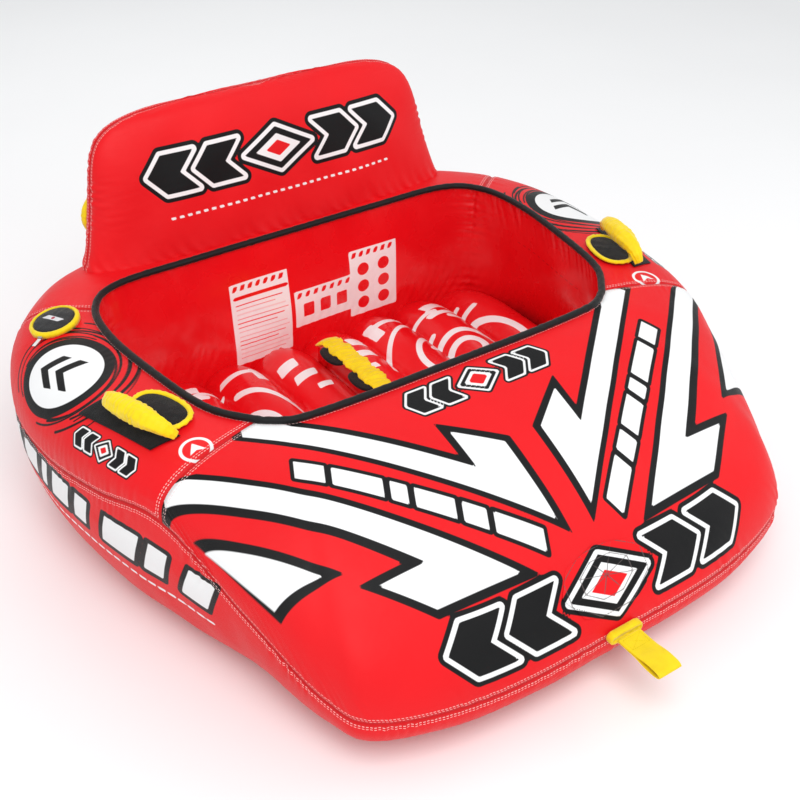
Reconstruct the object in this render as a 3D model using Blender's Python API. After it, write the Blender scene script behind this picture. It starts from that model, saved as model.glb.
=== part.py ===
"""A two-seat towable deck tube: a ring bladder, a ribbed floor bladder and a backrest bladder in a sewn cover.

Metres, +Z up. The bow, where the tow rope pulls, is towards -Y. The origin is on the ground under the middle.
"""
import math

import bmesh
import bpy
import numpy as np
from mathutils import Matrix, Vector
from mathutils.bvhtree import BVHTree

# The cockpit rim, half of it, from the middle of the bow side round to the middle of the stern side.
RIM_HEIGHT = 0.470
RIM_OUTLINE = [
    (0.0, -0.157), (0.22, -0.157), (0.36, -0.150), (0.405, -0.138), (0.430, -0.122), (0.4525, -0.102),
    (0.510, -0.020), (0.542, 0.120), (0.566, 0.330), (0.545, 0.470), (0.460, 0.540), (0.250, 0.548), (0.0, 0.548),
]
# The seam between deck and side panel at the same stations, with its height: low at the bow, high along the sides.
SEAM_OUTLINE = [
    (0.0, -0.705, 0.14), (0.30, -0.696, 0.14), (0.515, -0.638, 0.15), (0.580, -0.545, 0.17), (0.635, -0.370, 0.26),
    (0.694, -0.165, 0.37), (0.750, 0.020, 0.345), (0.782, 0.220, 0.315), (0.777, 0.420, 0.31), (0.700, 0.600, 0.33),
    (0.530, 0.755, 0.345), (0.270, 0.822, 0.35), (0.0, 0.836, 0.35),
]
# How square the deck's crown is at each station: 2 is an ellipse, more is flatter with a sharper shoulder.
CROWN_POWERS = [1.6, 1.6, 1.75, 1.9, 2.3, 2.8, 2.8, 2.8, 2.8, 2.8, 2.8, 2.8, 2.8]
# How far the inner wall's foot lies outside the rim at each station.
FOOT_OUTSETS = [0.03, 0.03, 0.03, 0.03, 0.03, 0.03, 0.04, 0.05, 0.03, 0.0, -0.02, -0.022, -0.022]
# How wide the underside is at each station, as a share of the hull's outline: it tucks in further at the bow.
UNDERSIDE_SHARES = [0.68, 0.67, 0.66, 0.72, 0.78, 0.81, 0.81, 0.81, 0.81, 0.81, 0.81, 0.81, 0.81]
STATIONS = len(RIM_OUTLINE) - 1
STEPS_PER_STATION = 2
RING_COUNT = 2 * STATIONS * STEPS_PER_STATION

EQUATOR_HEIGHT = 0.26
EQUATOR_BULGE = 0.012
EQUATOR_DROP = 0.02
UNDERSIDE_CENTRE = (0.0, 0.065)
FOOT_HEIGHT = 0.134
WALL_BULGE = 0.012
DECK_STEPS = 5
SIDE_STEPS = 4
WALL_STEPS = 3

COVER_THICKNESS = 0.0015
BLADDER_DEPTH = 0.0030
SEAM_GAP = 0.0008
RIM_CLEARANCE = 0.0105
BINDING_RADIUS = 0.0085
BINDING_RISE = 0.0075

# Deck panels meet where the front deck ends and where the stern deck begins, counted in stations from the bow.
DECK_SEAM_STATION = 5
STERN_SEAM_STATION = 9

FLOOR_RIBS = 8
FLOOR_WIDTH_SHARE = 0.965
FLOOR_RIB_STEPS = 5
FLOOR_LENGTH_STEPS = 7
FLOOR_GROOVE_HEIGHT = 0.140
FLOOR_RIB_HEIGHT = 0.052
FLOOR_BOTTOM = 0.006
FLOOR_EDGE_GAP = 0.006
FLOOR_END_DROP = 0.035

BACKREST_BASE = 0.470
BACKREST_TOP = 0.804
BACKREST_BLADDER_BASE = 0.4760
BACKREST_BASE_INSET = 0.0065
BACKREST_HALF_WIDTH = 0.510
BACKREST_CENTRE_X = 0.015
BACKREST_TAPER = 0.080
BACKREST_HALF_THICKNESS = 0.085
BACKREST_FOOT_Y = 0.664
BACKREST_LEAN = 0.047
BACKREST_LEVELS = (0.0, 0.16, 0.36, 0.56, 0.72, 0.84, 0.92, 0.965, 0.990)
BACKREST_SEGMENTS = 40
BACKREST_ROUNDNESS = 3.0

HANDLE_ENDS = ((0.600, -0.070), (0.657, 0.112))
HANDLE_WEB_WIDTH = 0.026
HANDLE_WEB_THICKNESS = 0.003
HANDLE_FOOT_SHARE = 0.4
HANDLE_RISE = 0.052
LEFT_HANDLE_TILT = -30.0
RIGHT_HANDLE_TILT = -25.0
HANDLE_ANCHOR_RISE = 0.011
GRIP_LENGTH = 0.140
GRIP_RADIUS = 0.0205
GRIP_SLOT = (0.0275, 0.0042)
PATCH_SIZE = (0.215, 0.058)
PATCH_CENTRE = (0.030, -0.020)
PATCH_LAYER = (0.0034, 0.0050)
GUARD_CENTRE = (-0.005, 0.036)
GUARD_SIZE = (0.132, 0.078)
GUARD_LAYER = (0.0066, 0.0105)
GUARD_BINDING_RADIUS = 0.0040

CENTRE_HANDLE_ENDS = (0.080, 0.410)
CENTRE_HANDLE_BASE = 0.206
CENTRE_HANDLE_RISE = 0.040
CENTRE_WEB_WIDTH = 0.052
CENTRE_WEB_THICKNESS = 0.003
CENTRE_PAD_SIZE = (0.090, 0.052)
CENTRE_PAD_THICKNESS = 0.006
CENTRE_PAD_PLACES = (0.180, 0.310)
CENTRE_PAD_OFFSET = -0.026
CENTRE_PAD_DROP = 0.0090
CENTRE_ANCHOR_SIZE = (0.012, 0.026, 0.053)
CENTRE_ANCHOR_BASE = 0.1494

TOW_ROOT = (0.0, -0.7062, 0.150)
TOW_LENGTH = 0.1338
TOW_COLLAR_GAP = 0.0045
TOW_WIDTH = 0.057
TOW_WEB = 0.0032
TOW_EYE_HEIGHT = 0.0125
TOW_EYE_START = 0.060
COLLAR_SIZE = (0.082, 0.016, 0.026)
HARNESS_SIZE = (0.150, 0.225)
HARNESS_CENTRE = (0.0, -0.652)
HARNESS_LAYER = (0.0034, 0.0048)

DECK_VALVE_PLACE = (-0.640, 0.470)
BACKREST_VALVE_PLACE = (-0.405, 0.560)
ZIP_RING_INNER = 0.0470
ZIP_RING_OUTER = 0.0525
ZIP_RING_TOP = 0.0120
LID_RADIUS = 0.0460
LID_BOTTOM = 0.0085
LID_THICKNESS = 0.0026
LID_DOME = 0.0040
VALVE_HOLE_RADIUS = 0.0310
VALVE_FLANGE_RADIUS = 0.0280
VALVE_FLANGE_LOW = -0.0014
VALVE_FLANGE_TOP = 0.0004
VALVE_CAP_RADIUS = 0.0190
VALVE_CAP_TOP = 0.0062
SLIDER_LOW = 0.0022
SLIDER_SIZE = (0.0060, 0.0110, 0.0080)
PULL_SIZE = (0.024, 0.009, 0.0020)
CLEARANCE = 0.0004

CLOSURE_HEIGHT = 0.600
CLOSURE_LENGTH = 0.460
CLOSURE_WIDTH = 0.034
CLOSURE_LAYER = (0.0020, 0.0036)
CLOSURE_SLIDER_RISE = 0.0024

RED = (0.855, 0.012, 0.018)
YELLOW = (1.0, 0.86, 0.0)
BLACK = (0.012, 0.012, 0.012)
GREY = (0.35, 0.36, 0.37)


def clear_scene():
    for leftover in list(bpy.data.objects):
        bpy.data.objects.remove(leftover, do_unlink=True)


def material(name, colour, roughness, metallic=0.0):
    made = bpy.data.materials.new(name)
    made.use_nodes = True
    shader = made.node_tree.nodes["Principled BSDF"]
    shader.inputs["Base Color"].default_value = (*colour, 1.0)
    shader.inputs["Roughness"].default_value = roughness
    shader.inputs["Metallic"].default_value = metallic
    return made


def finish(name, shape, finish_material, pivot=(0.0, 0.0, 0.0), smooth_angle=40.0):
    """Turn a bmesh in world coordinates into a named object whose origin is its pivot."""
    bmesh.ops.translate(shape, verts=shape.verts, vec=-Vector(pivot))
    bmesh.ops.recalc_face_normals(shape, faces=shape.faces)
    mesh = bpy.data.meshes.new(name)
    shape.to_mesh(mesh)
    shape.free()
    mesh.materials.append(finish_material)
    mesh.shade_smooth()
    mesh.set_sharp_from_angle(angle=math.radians(smooth_angle))
    made = bpy.data.objects.new(name, mesh)
    made.location = pivot
    bpy.context.scene.collection.objects.link(made)
    return made


def stitch(shape, rows, wrap_rows, wrap_columns):
    """Join a grid of vertices with triangles whose diagonals all run the same way."""
    row_total = len(rows)
    column_total = len(rows[0])
    for i in range(row_total if wrap_rows else row_total - 1):
        for j in range(column_total if wrap_columns else column_total - 1):
            a = rows[i][j]
            b = rows[(i + 1) % row_total][j]
            c = rows[(i + 1) % row_total][(j + 1) % column_total]
            d = rows[i][(j + 1) % column_total]
            shape.faces.new((a, b, c))
            shape.faces.new((a, c, d))


def add_rows(shape, points):
    return [[shape.verts.new(tuple(point)) for point in row] for row in points]


def sheet(outer, inner, wrap_rows=False):
    """A thin closed sheet between two grids of points of the same size."""
    shape = bmesh.new()
    top = add_rows(shape, outer)
    under = add_rows(shape, inner)
    stitch(shape, top, wrap_rows, False)
    stitch(shape, under, wrap_rows, False)
    first_edge = [[row[0] for row in top], [row[0] for row in under]]
    last_edge = [[row[-1] for row in top], [row[-1] for row in under]]
    for edge in (first_edge, last_edge):
        stitch(shape, edge, False, wrap_rows)
    if not wrap_rows:
        stitch(shape, [top[0], under[0]], False, False)
        stitch(shape, [top[-1], under[-1]], False, False)
    return shape


def swept(rings, closed=False):
    """A solid through a row of closed rings, with flat ends unless the row closes on itself."""
    shape = bmesh.new()
    rows = add_rows(shape, rings)
    stitch(shape, rows, closed, True)
    if not closed:
        shape.faces.new(rows[0])
        shape.faces.new(rows[-1])
    return shape


# ---- The hull's surface -------------------------------------------------------------------------------------


def mirrored(outline, flip_first=True):
    """The whole ring from its half: up one side and back down the other, each end point once."""
    half = [np.array(point, float) for point in outline]
    other = [point * ([-1] + [1] * (len(point) - 1)) if flip_first else point for point in half[-2:0:-1]]
    return half + other


def ring_at(outline, station, flip_first=True):
    """A point of a closed outline at a station number, on a Catmull-Rom curve through its points."""
    whole = [np.atleast_1d(point) for point in mirrored(outline, flip_first)]
    count = len(whole)
    index = math.floor(station)
    t = station - index
    a, b, c, d = (whole[(index + step) % count] for step in (-1, 0, 1, 2))
    return 0.5 * (2 * b + (c - a) * t + (2 * a - 5 * b + 4 * c - d) * t**2 + (3 * b - a - 3 * c + d) * t**3)


def scalar_ring(values):
    return [(value,) for value in values]


def section(station):
    """The hull's section at a station: a closed loop from the wall's foot up, over the deck and under."""
    rim = ring_at(RIM_OUTLINE, station)
    seam = ring_at(SEAM_OUTLINE, station)
    crown = ring_at(scalar_ring(CROWN_POWERS), station, False)[0]
    outset = ring_at(scalar_ring(FOOT_OUTSETS), station, False)[0]
    outward = seam[:2] - rim
    outward /= np.linalg.norm(outward)
    foot = rim + outward * outset

    wall = []
    for step in range(WALL_STEPS):
        t = step / WALL_STEPS
        inward = outward * WALL_BULGE * math.sin(math.pi * t)
        place = foot * (1 - t) + rim * t - inward
        wall.append((*place, FOOT_HEIGHT + (RIM_HEIGHT - FOOT_HEIGHT) * t))

    deck = []
    for step in range(DECK_STEPS + 1):
        turn = 0.5 * math.pi * step / DECK_STEPS
        along = math.sin(turn) ** (2 / crown)
        height = math.cos(turn) ** (2 / crown)
        place = rim * (1 - along) + seam[:2] * along
        deck.append((*place, seam[2] + (RIM_HEIGHT - seam[2]) * height))

    equator_height = min(seam[2] - EQUATOR_DROP, EQUATOR_HEIGHT)
    bulge = EQUATOR_BULGE * (seam[2] - equator_height - EQUATOR_DROP) / (RIM_HEIGHT - EQUATOR_HEIGHT)
    equator = seam[:2] + outward * bulge
    centre = np.array(UNDERSIDE_CENTRE)
    share = ring_at(scalar_ring(UNDERSIDE_SHARES), station, False)[0]
    underside = centre + (equator - centre) * share
    side = []
    for step in range(SIDE_STEPS + 1):
        turn = 0.5 * math.pi * step / SIDE_STEPS
        place = underside + (equator - underside) * math.cos(turn)
        side.append((*place, equator_height * (1 - math.sin(turn))))

    bottom = [(*foot, 0.0)]
    return np.array(wall + deck + side + bottom)


def hull_grid():
    return np.array([section(step / STEPS_PER_STATION) for step in range(RING_COUNT)])


def grid_normals(points, wrap_rows=True):
    """Unit normals of a grid of points whose columns close on themselves, and whose rows may."""
    if wrap_rows:
        along = np.roll(points, -1, axis=0) - np.roll(points, 1, axis=0)
    else:
        along = np.gradient(points, axis=0)
    across = np.roll(points, -1, axis=1) - np.roll(points, 1, axis=1)
    normals = np.cross(across, along)
    return normals / np.linalg.norm(normals, axis=2, keepdims=True)


RIM_COLUMN = WALL_STEPS
SEAM_COLUMN = WALL_STEPS + DECK_STEPS
UNDERSIDE_COLUMN = SEAM_COLUMN + 1 + SIDE_STEPS


def slide_along(row_a, row_b, distance):
    """A row of points moved a short distance from one row towards the next."""
    step = row_b - row_a
    length = np.linalg.norm(step, axis=-1, keepdims=True)
    return row_a + step / length * distance


def panel(surface, normals, rows, columns, row_trim=True, first_trim=SEAM_GAP, last_trim=SEAM_GAP):
    """The outer and inner points of a cover panel cut from the hull, with a seam gap along its edges."""
    cut = surface[np.ix_(rows, columns)]
    lean = normals[np.ix_(rows, columns)]
    inner = cut - lean * COVER_THICKNESS
    trimmed = []
    for points in (cut, inner):
        points = points.copy()
        points[:, 0] = slide_along(points[:, 0], points[:, 1], first_trim)
        points[:, -1] = slide_along(points[:, -1], points[:, -2], last_trim)
        if row_trim:
            points[0] = slide_along(points[0], points[1], SEAM_GAP)
            points[-1] = slide_along(points[-1], points[-2], SEAM_GAP)
        trimmed.append(points)
    return trimmed


def row_range(first_station, last_station):
    first = first_station * STEPS_PER_STATION
    last = last_station * STEPS_PER_STATION
    return [step % RING_COUNT for step in range(first, last + 1)]


def build_covers(surface, normals, red):
    """The sewn deck and side panels, and the flat bottom panel."""
    deck_columns = list(range(RIM_COLUMN, SEAM_COLUMN + 1))
    side_columns = list(range(SEAM_COLUMN, UNDERSIDE_COLUMN + 1))
    far = 2 * STATIONS
    deck_rows = {
        "front_deck_cover": row_range(far - DECK_SEAM_STATION, far + DECK_SEAM_STATION),
        "right_deck_cover": row_range(DECK_SEAM_STATION, STERN_SEAM_STATION),
        "stern_deck_cover": row_range(STERN_SEAM_STATION, far - STERN_SEAM_STATION),
        "left_deck_cover": row_range(far - STERN_SEAM_STATION, far - DECK_SEAM_STATION),
    }
    made = {}
    for name, rows in deck_rows.items():
        outer, inner = panel(surface, normals, rows, deck_columns, first_trim=RIM_CLEARANCE)
        made[name] = finish(name, sheet(outer, inner), red)
    side_rows = {
        "right_side_cover": row_range(0, STATIONS),
        "left_side_cover": row_range(STATIONS, far),
    }
    for name, rows in side_rows.items():
        outer, inner = panel(surface, normals, rows, side_columns)
        made[name] = finish(name, sheet(outer, inner), red)
    return made


def build_bottom_cover(surface, finish_material):
    edge = surface[:, UNDERSIDE_COLUMN]
    centre = np.array((*UNDERSIDE_CENTRE, 0.0))
    inset = slide_along(edge, np.broadcast_to(centre, edge.shape), SEAM_GAP)
    rings = [inset, inset + (0, 0, COVER_THICKNESS)]
    return finish("bottom_cover", swept(rings), finish_material)


def build_hull_bladder(surface, normals, finish_material):
    """The inflated ring inside the deck and side covers, whose inner wall shows in the cockpit."""
    points = surface - normals * BLADDER_DEPTH
    points[:, -1] = surface[:, -1] + (0, 0, BLADDER_DEPTH)
    points[:, UNDERSIDE_COLUMN] = surface[:, UNDERSIDE_COLUMN] + (0, 0, BLADDER_DEPTH)
    return finish("hull_bladder", swept(points, closed=True), finish_material)


def build_rim_binding(surface, finish_material, sides=6):
    """The black binding tube round the cockpit rim, where the deck cover's edge is bound."""
    centre = surface[:, RIM_COLUMN] + (0, 0, BINDING_RISE)
    along = np.roll(centre, -1, axis=0) - np.roll(centre, 1, axis=0)
    rings = []
    for place, step in zip(centre, along):
        across = np.cross(step, (0, 0, 1))
        across /= np.linalg.norm(across)
        angles = [2 * math.pi * k / sides for k in range(sides)]
        up = np.array((0, 0, 1))
        rings.append([place + BINDING_RADIUS * (math.cos(a) * across + math.sin(a) * up) for a in angles])
    return finish("cockpit_rim_binding", swept(rings, closed=True), finish_material)


# ---- The ribbed floor ---------------------------------------------------------------------------------------


def floor_span(outline, x):
    """Where a fore-and-aft line at x enters and leaves the outline."""
    crossings = []
    for a, b in zip(outline, np.roll(outline, -1, axis=0)):
        if (a[0] <= x) != (b[0] <= x):
            crossings.append(a[1] + (b[1] - a[1]) * (x - a[0]) / (b[0] - a[0]))
    return min(crossings), max(crossings)


def build_floor(surface, finish_material):
    """An inflated mattress with fore-and-aft ribs, its edge just inside the wall's foot."""
    outline = surface[:, 0, :2]
    half_width = FLOOR_WIDTH_SHARE * outline[:, 0].max()
    columns = FLOOR_RIBS * FLOOR_RIB_STEPS
    rings = []
    for column in range(columns + 1):
        x = -half_width + 2 * half_width * column / columns
        front, rear = floor_span(outline, x)
        front += FLOOR_EDGE_GAP
        rear -= FLOOR_EDGE_GAP
        rib_phase = (column % FLOOR_RIB_STEPS) / FLOOR_RIB_STEPS
        crest = math.sin(math.pi * rib_phase) ** 0.6
        top = []
        for step in range(FLOOR_LENGTH_STEPS + 1):
            t = step / FLOOR_LENGTH_STEPS
            end = (2 * t - 1) ** 6
            height = FLOOR_GROOVE_HEIGHT + crest * FLOOR_RIB_HEIGHT - end * FLOOR_END_DROP
            top.append((x, front + (rear - front) * t, height))
        rings.append(top + [(x, rear, FLOOR_BOTTOM), (x, front, FLOOR_BOTTOM)])
    return finish("floor_bladder", swept(rings), finish_material, smooth_angle=60.0)


# ---- The backrest -------------------------------------------------------------------------------------------


def backrest_ring(level):
    """A rounded section of the backrest at a level from 0, at the deck, to 1, at the top."""
    half_width = (BACKREST_HALF_WIDTH - BACKREST_TAPER * level**0.7) * (1 - level**10) ** 0.2
    half_thickness = BACKREST_HALF_THICKNESS * (1 - 0.25 * level) * math.sqrt(1 - level**6)
    centre_y = BACKREST_FOOT_Y + BACKREST_LEAN * level
    z = BACKREST_BASE + (BACKREST_TOP - BACKREST_BASE) * level
    ring = []
    for step in range(BACKREST_SEGMENTS):
        angle = 2 * math.pi * step / BACKREST_SEGMENTS
        c = math.cos(angle)
        s = math.sin(angle)
        power = 2 / BACKREST_ROUNDNESS
        x = BACKREST_CENTRE_X + half_width * math.copysign(abs(c) ** power, c)
        y = centre_y + half_thickness * math.copysign(abs(s) ** power, s)
        ring.append((x, y, z))
    return np.array(ring)


def build_backrest(deck_tree, red, bladder_material):
    """The backrest's bladder and the two cover panels sewn round its edge."""
    levels = np.array([backrest_ring(level) for level in BACKREST_LEVELS])
    normals = grid_normals(levels, wrap_rows=False)
    rings = levels - normals * BLADDER_DEPTH
    base_level = (BACKREST_BLADDER_BASE - BACKREST_BASE) / (BACKREST_TOP - BACKREST_BASE)
    rings[0] = backrest_ring(base_level) - normals[0] * BACKREST_BASE_INSET
    rings[0][:, 2] = BACKREST_BLADDER_BASE
    finish("backrest_bladder", swept(rings), bladder_material, smooth_angle=60.0)

    inner = levels - normals * COVER_THICKNESS
    for skin in (levels, inner):
        for point in skin[0]:
            hit = deck_tree.ray_cast(Vector((point[0], point[1], 1.0)), Vector((0, 0, -1)))[0]
            point[2] = hit.z + 0.002
    half = BACKREST_SEGMENTS // 2
    made = {}
    for name, columns in (
        ("backrest_rear_cover", range(0, half + 1)),
        ("backrest_front_cover", range(half, BACKREST_SEGMENTS + 1)),
    ):
        wrapped = [column % BACKREST_SEGMENTS for column in columns]
        skins = []
        for skin in (levels, inner):
            cut = np.transpose(skin[:, wrapped], (1, 0, 2)).copy()
            cut[0] = slide_along(cut[0], cut[1], SEAM_GAP)
            cut[-1] = slide_along(cut[-1], cut[-2], SEAM_GAP)
            skins.append(cut)
        made[name] = finish(name, sheet(*skins), red, smooth_angle=60.0)
    return made


# ---- Pieces that lie on the cover ---------------------------------------------------------------------------


def surface_tree(points, wrap_rows, wrap_columns):
    """A search tree of a grid surface, for laying pieces on it."""
    shape = bmesh.new()
    stitch(shape, add_rows(shape, points), wrap_rows, wrap_columns)
    shape.normal_update()
    tree = BVHTree.FromBMesh(shape)
    shape.free()
    return tree


class Place:
    """A frame on the cover: its point, its outward normal and two directions in the surface."""

    def __init__(self, tree, above, towards, along):
        hit, normal, *_ = tree.ray_cast(Vector(above), Vector(towards))
        self.tree = tree
        self.origin = hit
        self.normal = normal if normal.dot(Vector(towards)) < 0 else -normal
        self.along = (Vector(along) - Vector(along).dot(self.normal) * self.normal).normalized()
        self.across = self.normal.cross(self.along)

    def at(self, x, y, z):
        return self.origin + float(x) * self.along + float(y) * self.across + float(z) * self.normal

    def on_surface(self, x, y, z):
        """The point of the cover under (x, y), raised by z along the frame's normal."""
        hit = self.tree.ray_cast(self.at(x, y, 0.1), -self.normal, 0.3)[0]
        return hit + z * self.normal

    def matrix(self):
        columns = Matrix((self.along, self.across, self.normal)).transposed().to_4x4()
        return Matrix.Translation(self.origin) @ columns


def draped_plate(place, outline, low, high, rings=3):
    """A plate that follows the cover under a convex outline."""
    shape = bmesh.new()
    centre = np.mean(outline, axis=0)
    layers = []
    for height in (low, high):
        middle = shape.verts.new(place.on_surface(*centre, height))
        rows = []
        for ring in range(1, rings + 1):
            scaled = centre + (np.array(outline) - centre) * ring / rings
            rows.append([shape.verts.new(place.on_surface(x, y, height)) for x, y in scaled])
        for a, b in zip(rows[0], rows[0][1:] + rows[0][:1]):
            shape.faces.new((middle, a, b))
        stitch(shape, rows, False, True)
        layers.append(rows[-1])
    stitch(shape, layers, False, True)
    return shape


def draped_strip(place, length, width, low, high, centre=(0.0, 0.0), steps=8, slant=0.0):
    """A rectangular plate that follows the cover, leaning by slant like a parallelogram."""
    grids = []
    for height in (high, low):
        rows = []
        for step in range(steps + 1):
            along = length * (step / steps - 0.5)
            rows.append([
                tuple(place.on_surface(centre[0] + along + slant * side, centre[1] + 0.5 * width * side, height))
                for side in (-1, 0, 1)
            ])
        grids.append(rows)
    return sheet(*grids)


def draped_cord(place, outline, radius, height, sides=6):
    """A round binding along a closed outline on the cover."""
    centres = [place.on_surface(x, y, height) for x, y in outline]
    middle = sum(centres, Vector()) / len(centres)
    rings = []
    for centre in centres:
        outward = (centre - middle).normalized()
        rings.append([
            centre + radius * (math.cos(a) * outward + math.sin(a) * place.normal)
            for a in (2 * math.pi * k / sides for k in range(sides))
        ])
    return swept(rings, closed=True)


def oval(length, width, count=20, power=2.4, centre=(0.0, 0.0)):
    points = []
    for step in range(count):
        angle = 2 * math.pi * step / count
        c = math.cos(angle)
        s = math.sin(angle)
        x = 0.5 * length * math.copysign(abs(c) ** (2 / power), c)
        y = 0.5 * width * math.copysign(abs(s) ** (2 / power), s)
        points.append((centre[0] + x, centre[1] + y))
    return points


def ribbon(points, side, width, thickness, foot_share=1.0):
    """Flat webbing along a path, its thickness square to the path, folded narrower at its two feet."""
    points = [np.array(point, float) for point in points]
    side = np.array(side, float)
    rings = []
    for index, point in enumerate(points):
        share = foot_share if index in (0, len(points) - 1) else 1.0
        before = points[max(index - 1, 0)]
        after = points[min(index + 1, len(points) - 1)]
        up = np.cross(after - before, side)
        up /= np.linalg.norm(up)
        half_side = side * width * share / 2
        half_up = up * thickness / 2
        corners = ((-1, -1), (1, -1), (1, 1), (-1, 1))
        rings.append([point + a * half_side + b * half_up for a, b in corners])
    return swept(rings)


def box(size, centre=(0.0, 0.0, 0.0)):
    shape = bmesh.new()
    bmesh.ops.create_cube(shape, size=1.0)
    bmesh.ops.scale(shape, vec=size, verts=shape.verts)
    bmesh.ops.translate(shape, vec=centre, verts=shape.verts)
    return shape


def softened_box(size, centre, radius, segments=1):
    shape = box(size, centre)
    bmesh.ops.bevel(shape, geom=list(shape.edges), offset=radius, segments=segments, affect="EDGES", profile=0.5)
    return shape


def disc(radius, low, high, count=24, dome=0.0, bevel=0.0):
    """A turned disc, crowned by dome, its upper rim bevelled."""
    profile = [(radius, low), (radius, high - bevel), (radius - bevel, high)]
    rings = [[(r * math.cos(2 * math.pi * k / count), r * math.sin(2 * math.pi * k / count), z) for k in range(count)]
             for r, z in profile]
    inner = 0.5 * radius
    rings.append([(inner * math.cos(2 * math.pi * k / count), inner * math.sin(2 * math.pi * k / count),
                   high + 0.75 * dome) for k in range(count)])
    shape = bmesh.new()
    rows = add_rows(shape, rings)
    stitch(shape, rows, False, True)
    shape.faces.new(rows[0])
    top = shape.verts.new((0, 0, high + dome))
    for a, b in zip(rows[-1], rows[-1][1:] + rows[-1][:1]):
        shape.faces.new((a, b, top))
    return shape


def turned_round(shape, matrix):
    bmesh.ops.transform(shape, matrix=matrix, verts=shape.verts)
    return shape


# ---- Handles ------------------------------------------------------------------------------------------------


def arch(length, rise, anchor_rise, grip_length):
    """A handle's webbing path in its own plane: two feet, two bends and a straight run for the grip."""
    half = 0.5 * length
    grip = 0.5 * grip_length
    lift = rise - anchor_rise
    bend = 0.2 * (half - grip)
    feet = [(-half, 0.0), (-half + bend, 0.62 * lift), (-grip - bend, lift)]
    run = [(0.0, lift)]
    return feet + run + [(-x, z) for x, z in reversed(feet)]


def slotted_grip(length, radius, slot):
    """A foam tube with a flat slot through it for the webbing, along X."""
    slot_y = slot[0] / 2
    slot_z = slot[1] / 2
    upper = [(slot_y, slot_z), (slot_y / 2, slot_z), (0.0, slot_z), (-slot_y / 2, slot_z), (-slot_y, slot_z)]
    around = [(slot_y, 0.0)] + upper + [(-slot_y, 0.0)] + [(y, -z) for y, z in reversed(upper)]
    turns = [2 * math.pi * k / len(around) for k in range(len(around))]
    shape = bmesh.new()
    rows = []
    for x in (-length / 2, length / 2):
        outer = [shape.verts.new((x, radius * math.cos(turn), radius * math.sin(turn))) for turn in turns]
        inner = [shape.verts.new((x, y, z)) for y, z in around]
        rows.append((outer, inner))
    (outer_a, inner_a), (outer_b, inner_b) = rows
    stitch(shape, [outer_a, outer_b], False, True)
    stitch(shape, [inner_a, inner_b], False, True)
    stitch(shape, [outer_a, inner_a], False, True)
    stitch(shape, [outer_b, inner_b], False, True)
    return shape


def build_side_handle(tree, side, name, tilt, black, yellow):
    """A carry handle on the side deck: a patch, a knuckle guard with its binding, webbing and a foam grip."""
    (front_x, front_y), (rear_x, rear_y) = HANDLE_ENDS
    middle = (side * (front_x + rear_x) / 2, (front_y + rear_y) / 2, 1.0)
    along = (side * (rear_x - front_x), rear_y - front_y, 0.0)
    place = Place(tree, middle, (0, 0, -1), along)
    patch_centre = (PATCH_CENTRE[0], side * PATCH_CENTRE[1])
    patch = draped_strip(place, *PATCH_SIZE, *PATCH_LAYER, patch_centre, slant=-0.012 * side)
    finish(f"{name}_patch", patch, black)
    guard_centre = (GUARD_CENTRE[0], side * GUARD_CENTRE[1])
    guard = oval(*GUARD_SIZE, centre=guard_centre)
    finish(f"{name}_guard", draped_plate(place, guard, *GUARD_LAYER), black)
    margin = 2 * (GUARD_BINDING_RADIUS + CLEARANCE)
    rim = oval(GUARD_SIZE[0] + margin, GUARD_SIZE[1] + margin, centre=guard_centre)
    binding = draped_cord(place, rim, GUARD_BINDING_RADIUS, GUARD_LAYER[1])
    finish(f"{name}_guard_binding", binding, yellow)
    length = math.hypot(rear_x - front_x, rear_y - front_y)
    lift = HANDLE_ANCHOR_RISE
    swing = Matrix.Rotation(math.radians(tilt), 4, "X")
    frame = place.matrix() @ Matrix.Translation((0, 0, lift)) @ swing
    path = [(x, 0.0, z) for x, z in arch(length, HANDLE_RISE, lift, GRIP_LENGTH)]
    pivot = place.at(0, 0, lift)
    web = ribbon(path, (0, 1, 0), HANDLE_WEB_WIDTH, HANDLE_WEB_THICKNESS, HANDLE_FOOT_SHARE)
    finish(f"{name}_webbing", turned_round(web, frame), yellow, pivot)
    grip = slotted_grip(GRIP_LENGTH, GRIP_RADIUS, GRIP_SLOT)
    bmesh.ops.translate(grip, verts=grip.verts, vec=(0, 0, HANDLE_RISE - lift))
    finish(f"{name}_grip", turned_round(grip, frame), yellow, pivot)
    return place, pivot


def build_centre_handle(black, yellow, red):
    """The handle between the riders: wide webbing along the middle of the floor, with two knuckle pads."""
    front, rear = CENTRE_HANDLE_ENDS
    length = rear - front
    middle = (front + rear) / 2
    curve = arch(length, CENTRE_HANDLE_RISE, 0.0, 0.7 * length)
    path = [(0.0, middle + x, CENTRE_HANDLE_BASE + z) for x, z in curve]
    pivot = (0.0, middle, CENTRE_HANDLE_BASE)
    web = ribbon(path, (1, 0, 0), CENTRE_WEB_WIDTH, CENTRE_WEB_THICKNESS)
    finish("centre_handle_webbing", web, yellow, pivot)
    for name, y in zip(("front", "rear"), CENTRE_HANDLE_ENDS):
        anchor = softened_box(CENTRE_ANCHOR_SIZE, (0.0, y, CENTRE_ANCHOR_BASE + 0.5 * CENTRE_ANCHOR_SIZE[2]), 0.001)
        finish(f"centre_handle_{name}_anchor", anchor, red)
    for name, y in zip(("front", "rear"), CENTRE_PAD_PLACES):
        edge = oval(*CENTRE_PAD_SIZE, count=16)
        z = CENTRE_HANDLE_BASE + CENTRE_HANDLE_RISE - CENTRE_PAD_DROP
        low = [(CENTRE_PAD_OFFSET + b, y + a, z) for a, b in edge]
        high = [(x, y_point, z_point + CENTRE_PAD_THICKNESS) for x, y_point, z_point in low]
        finish(f"centre_handle_{name}_pad", swept([low, high]), black, pivot)
    return pivot


# ---- Valves, zips and the tow point -------------------------------------------------------------------------


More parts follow.
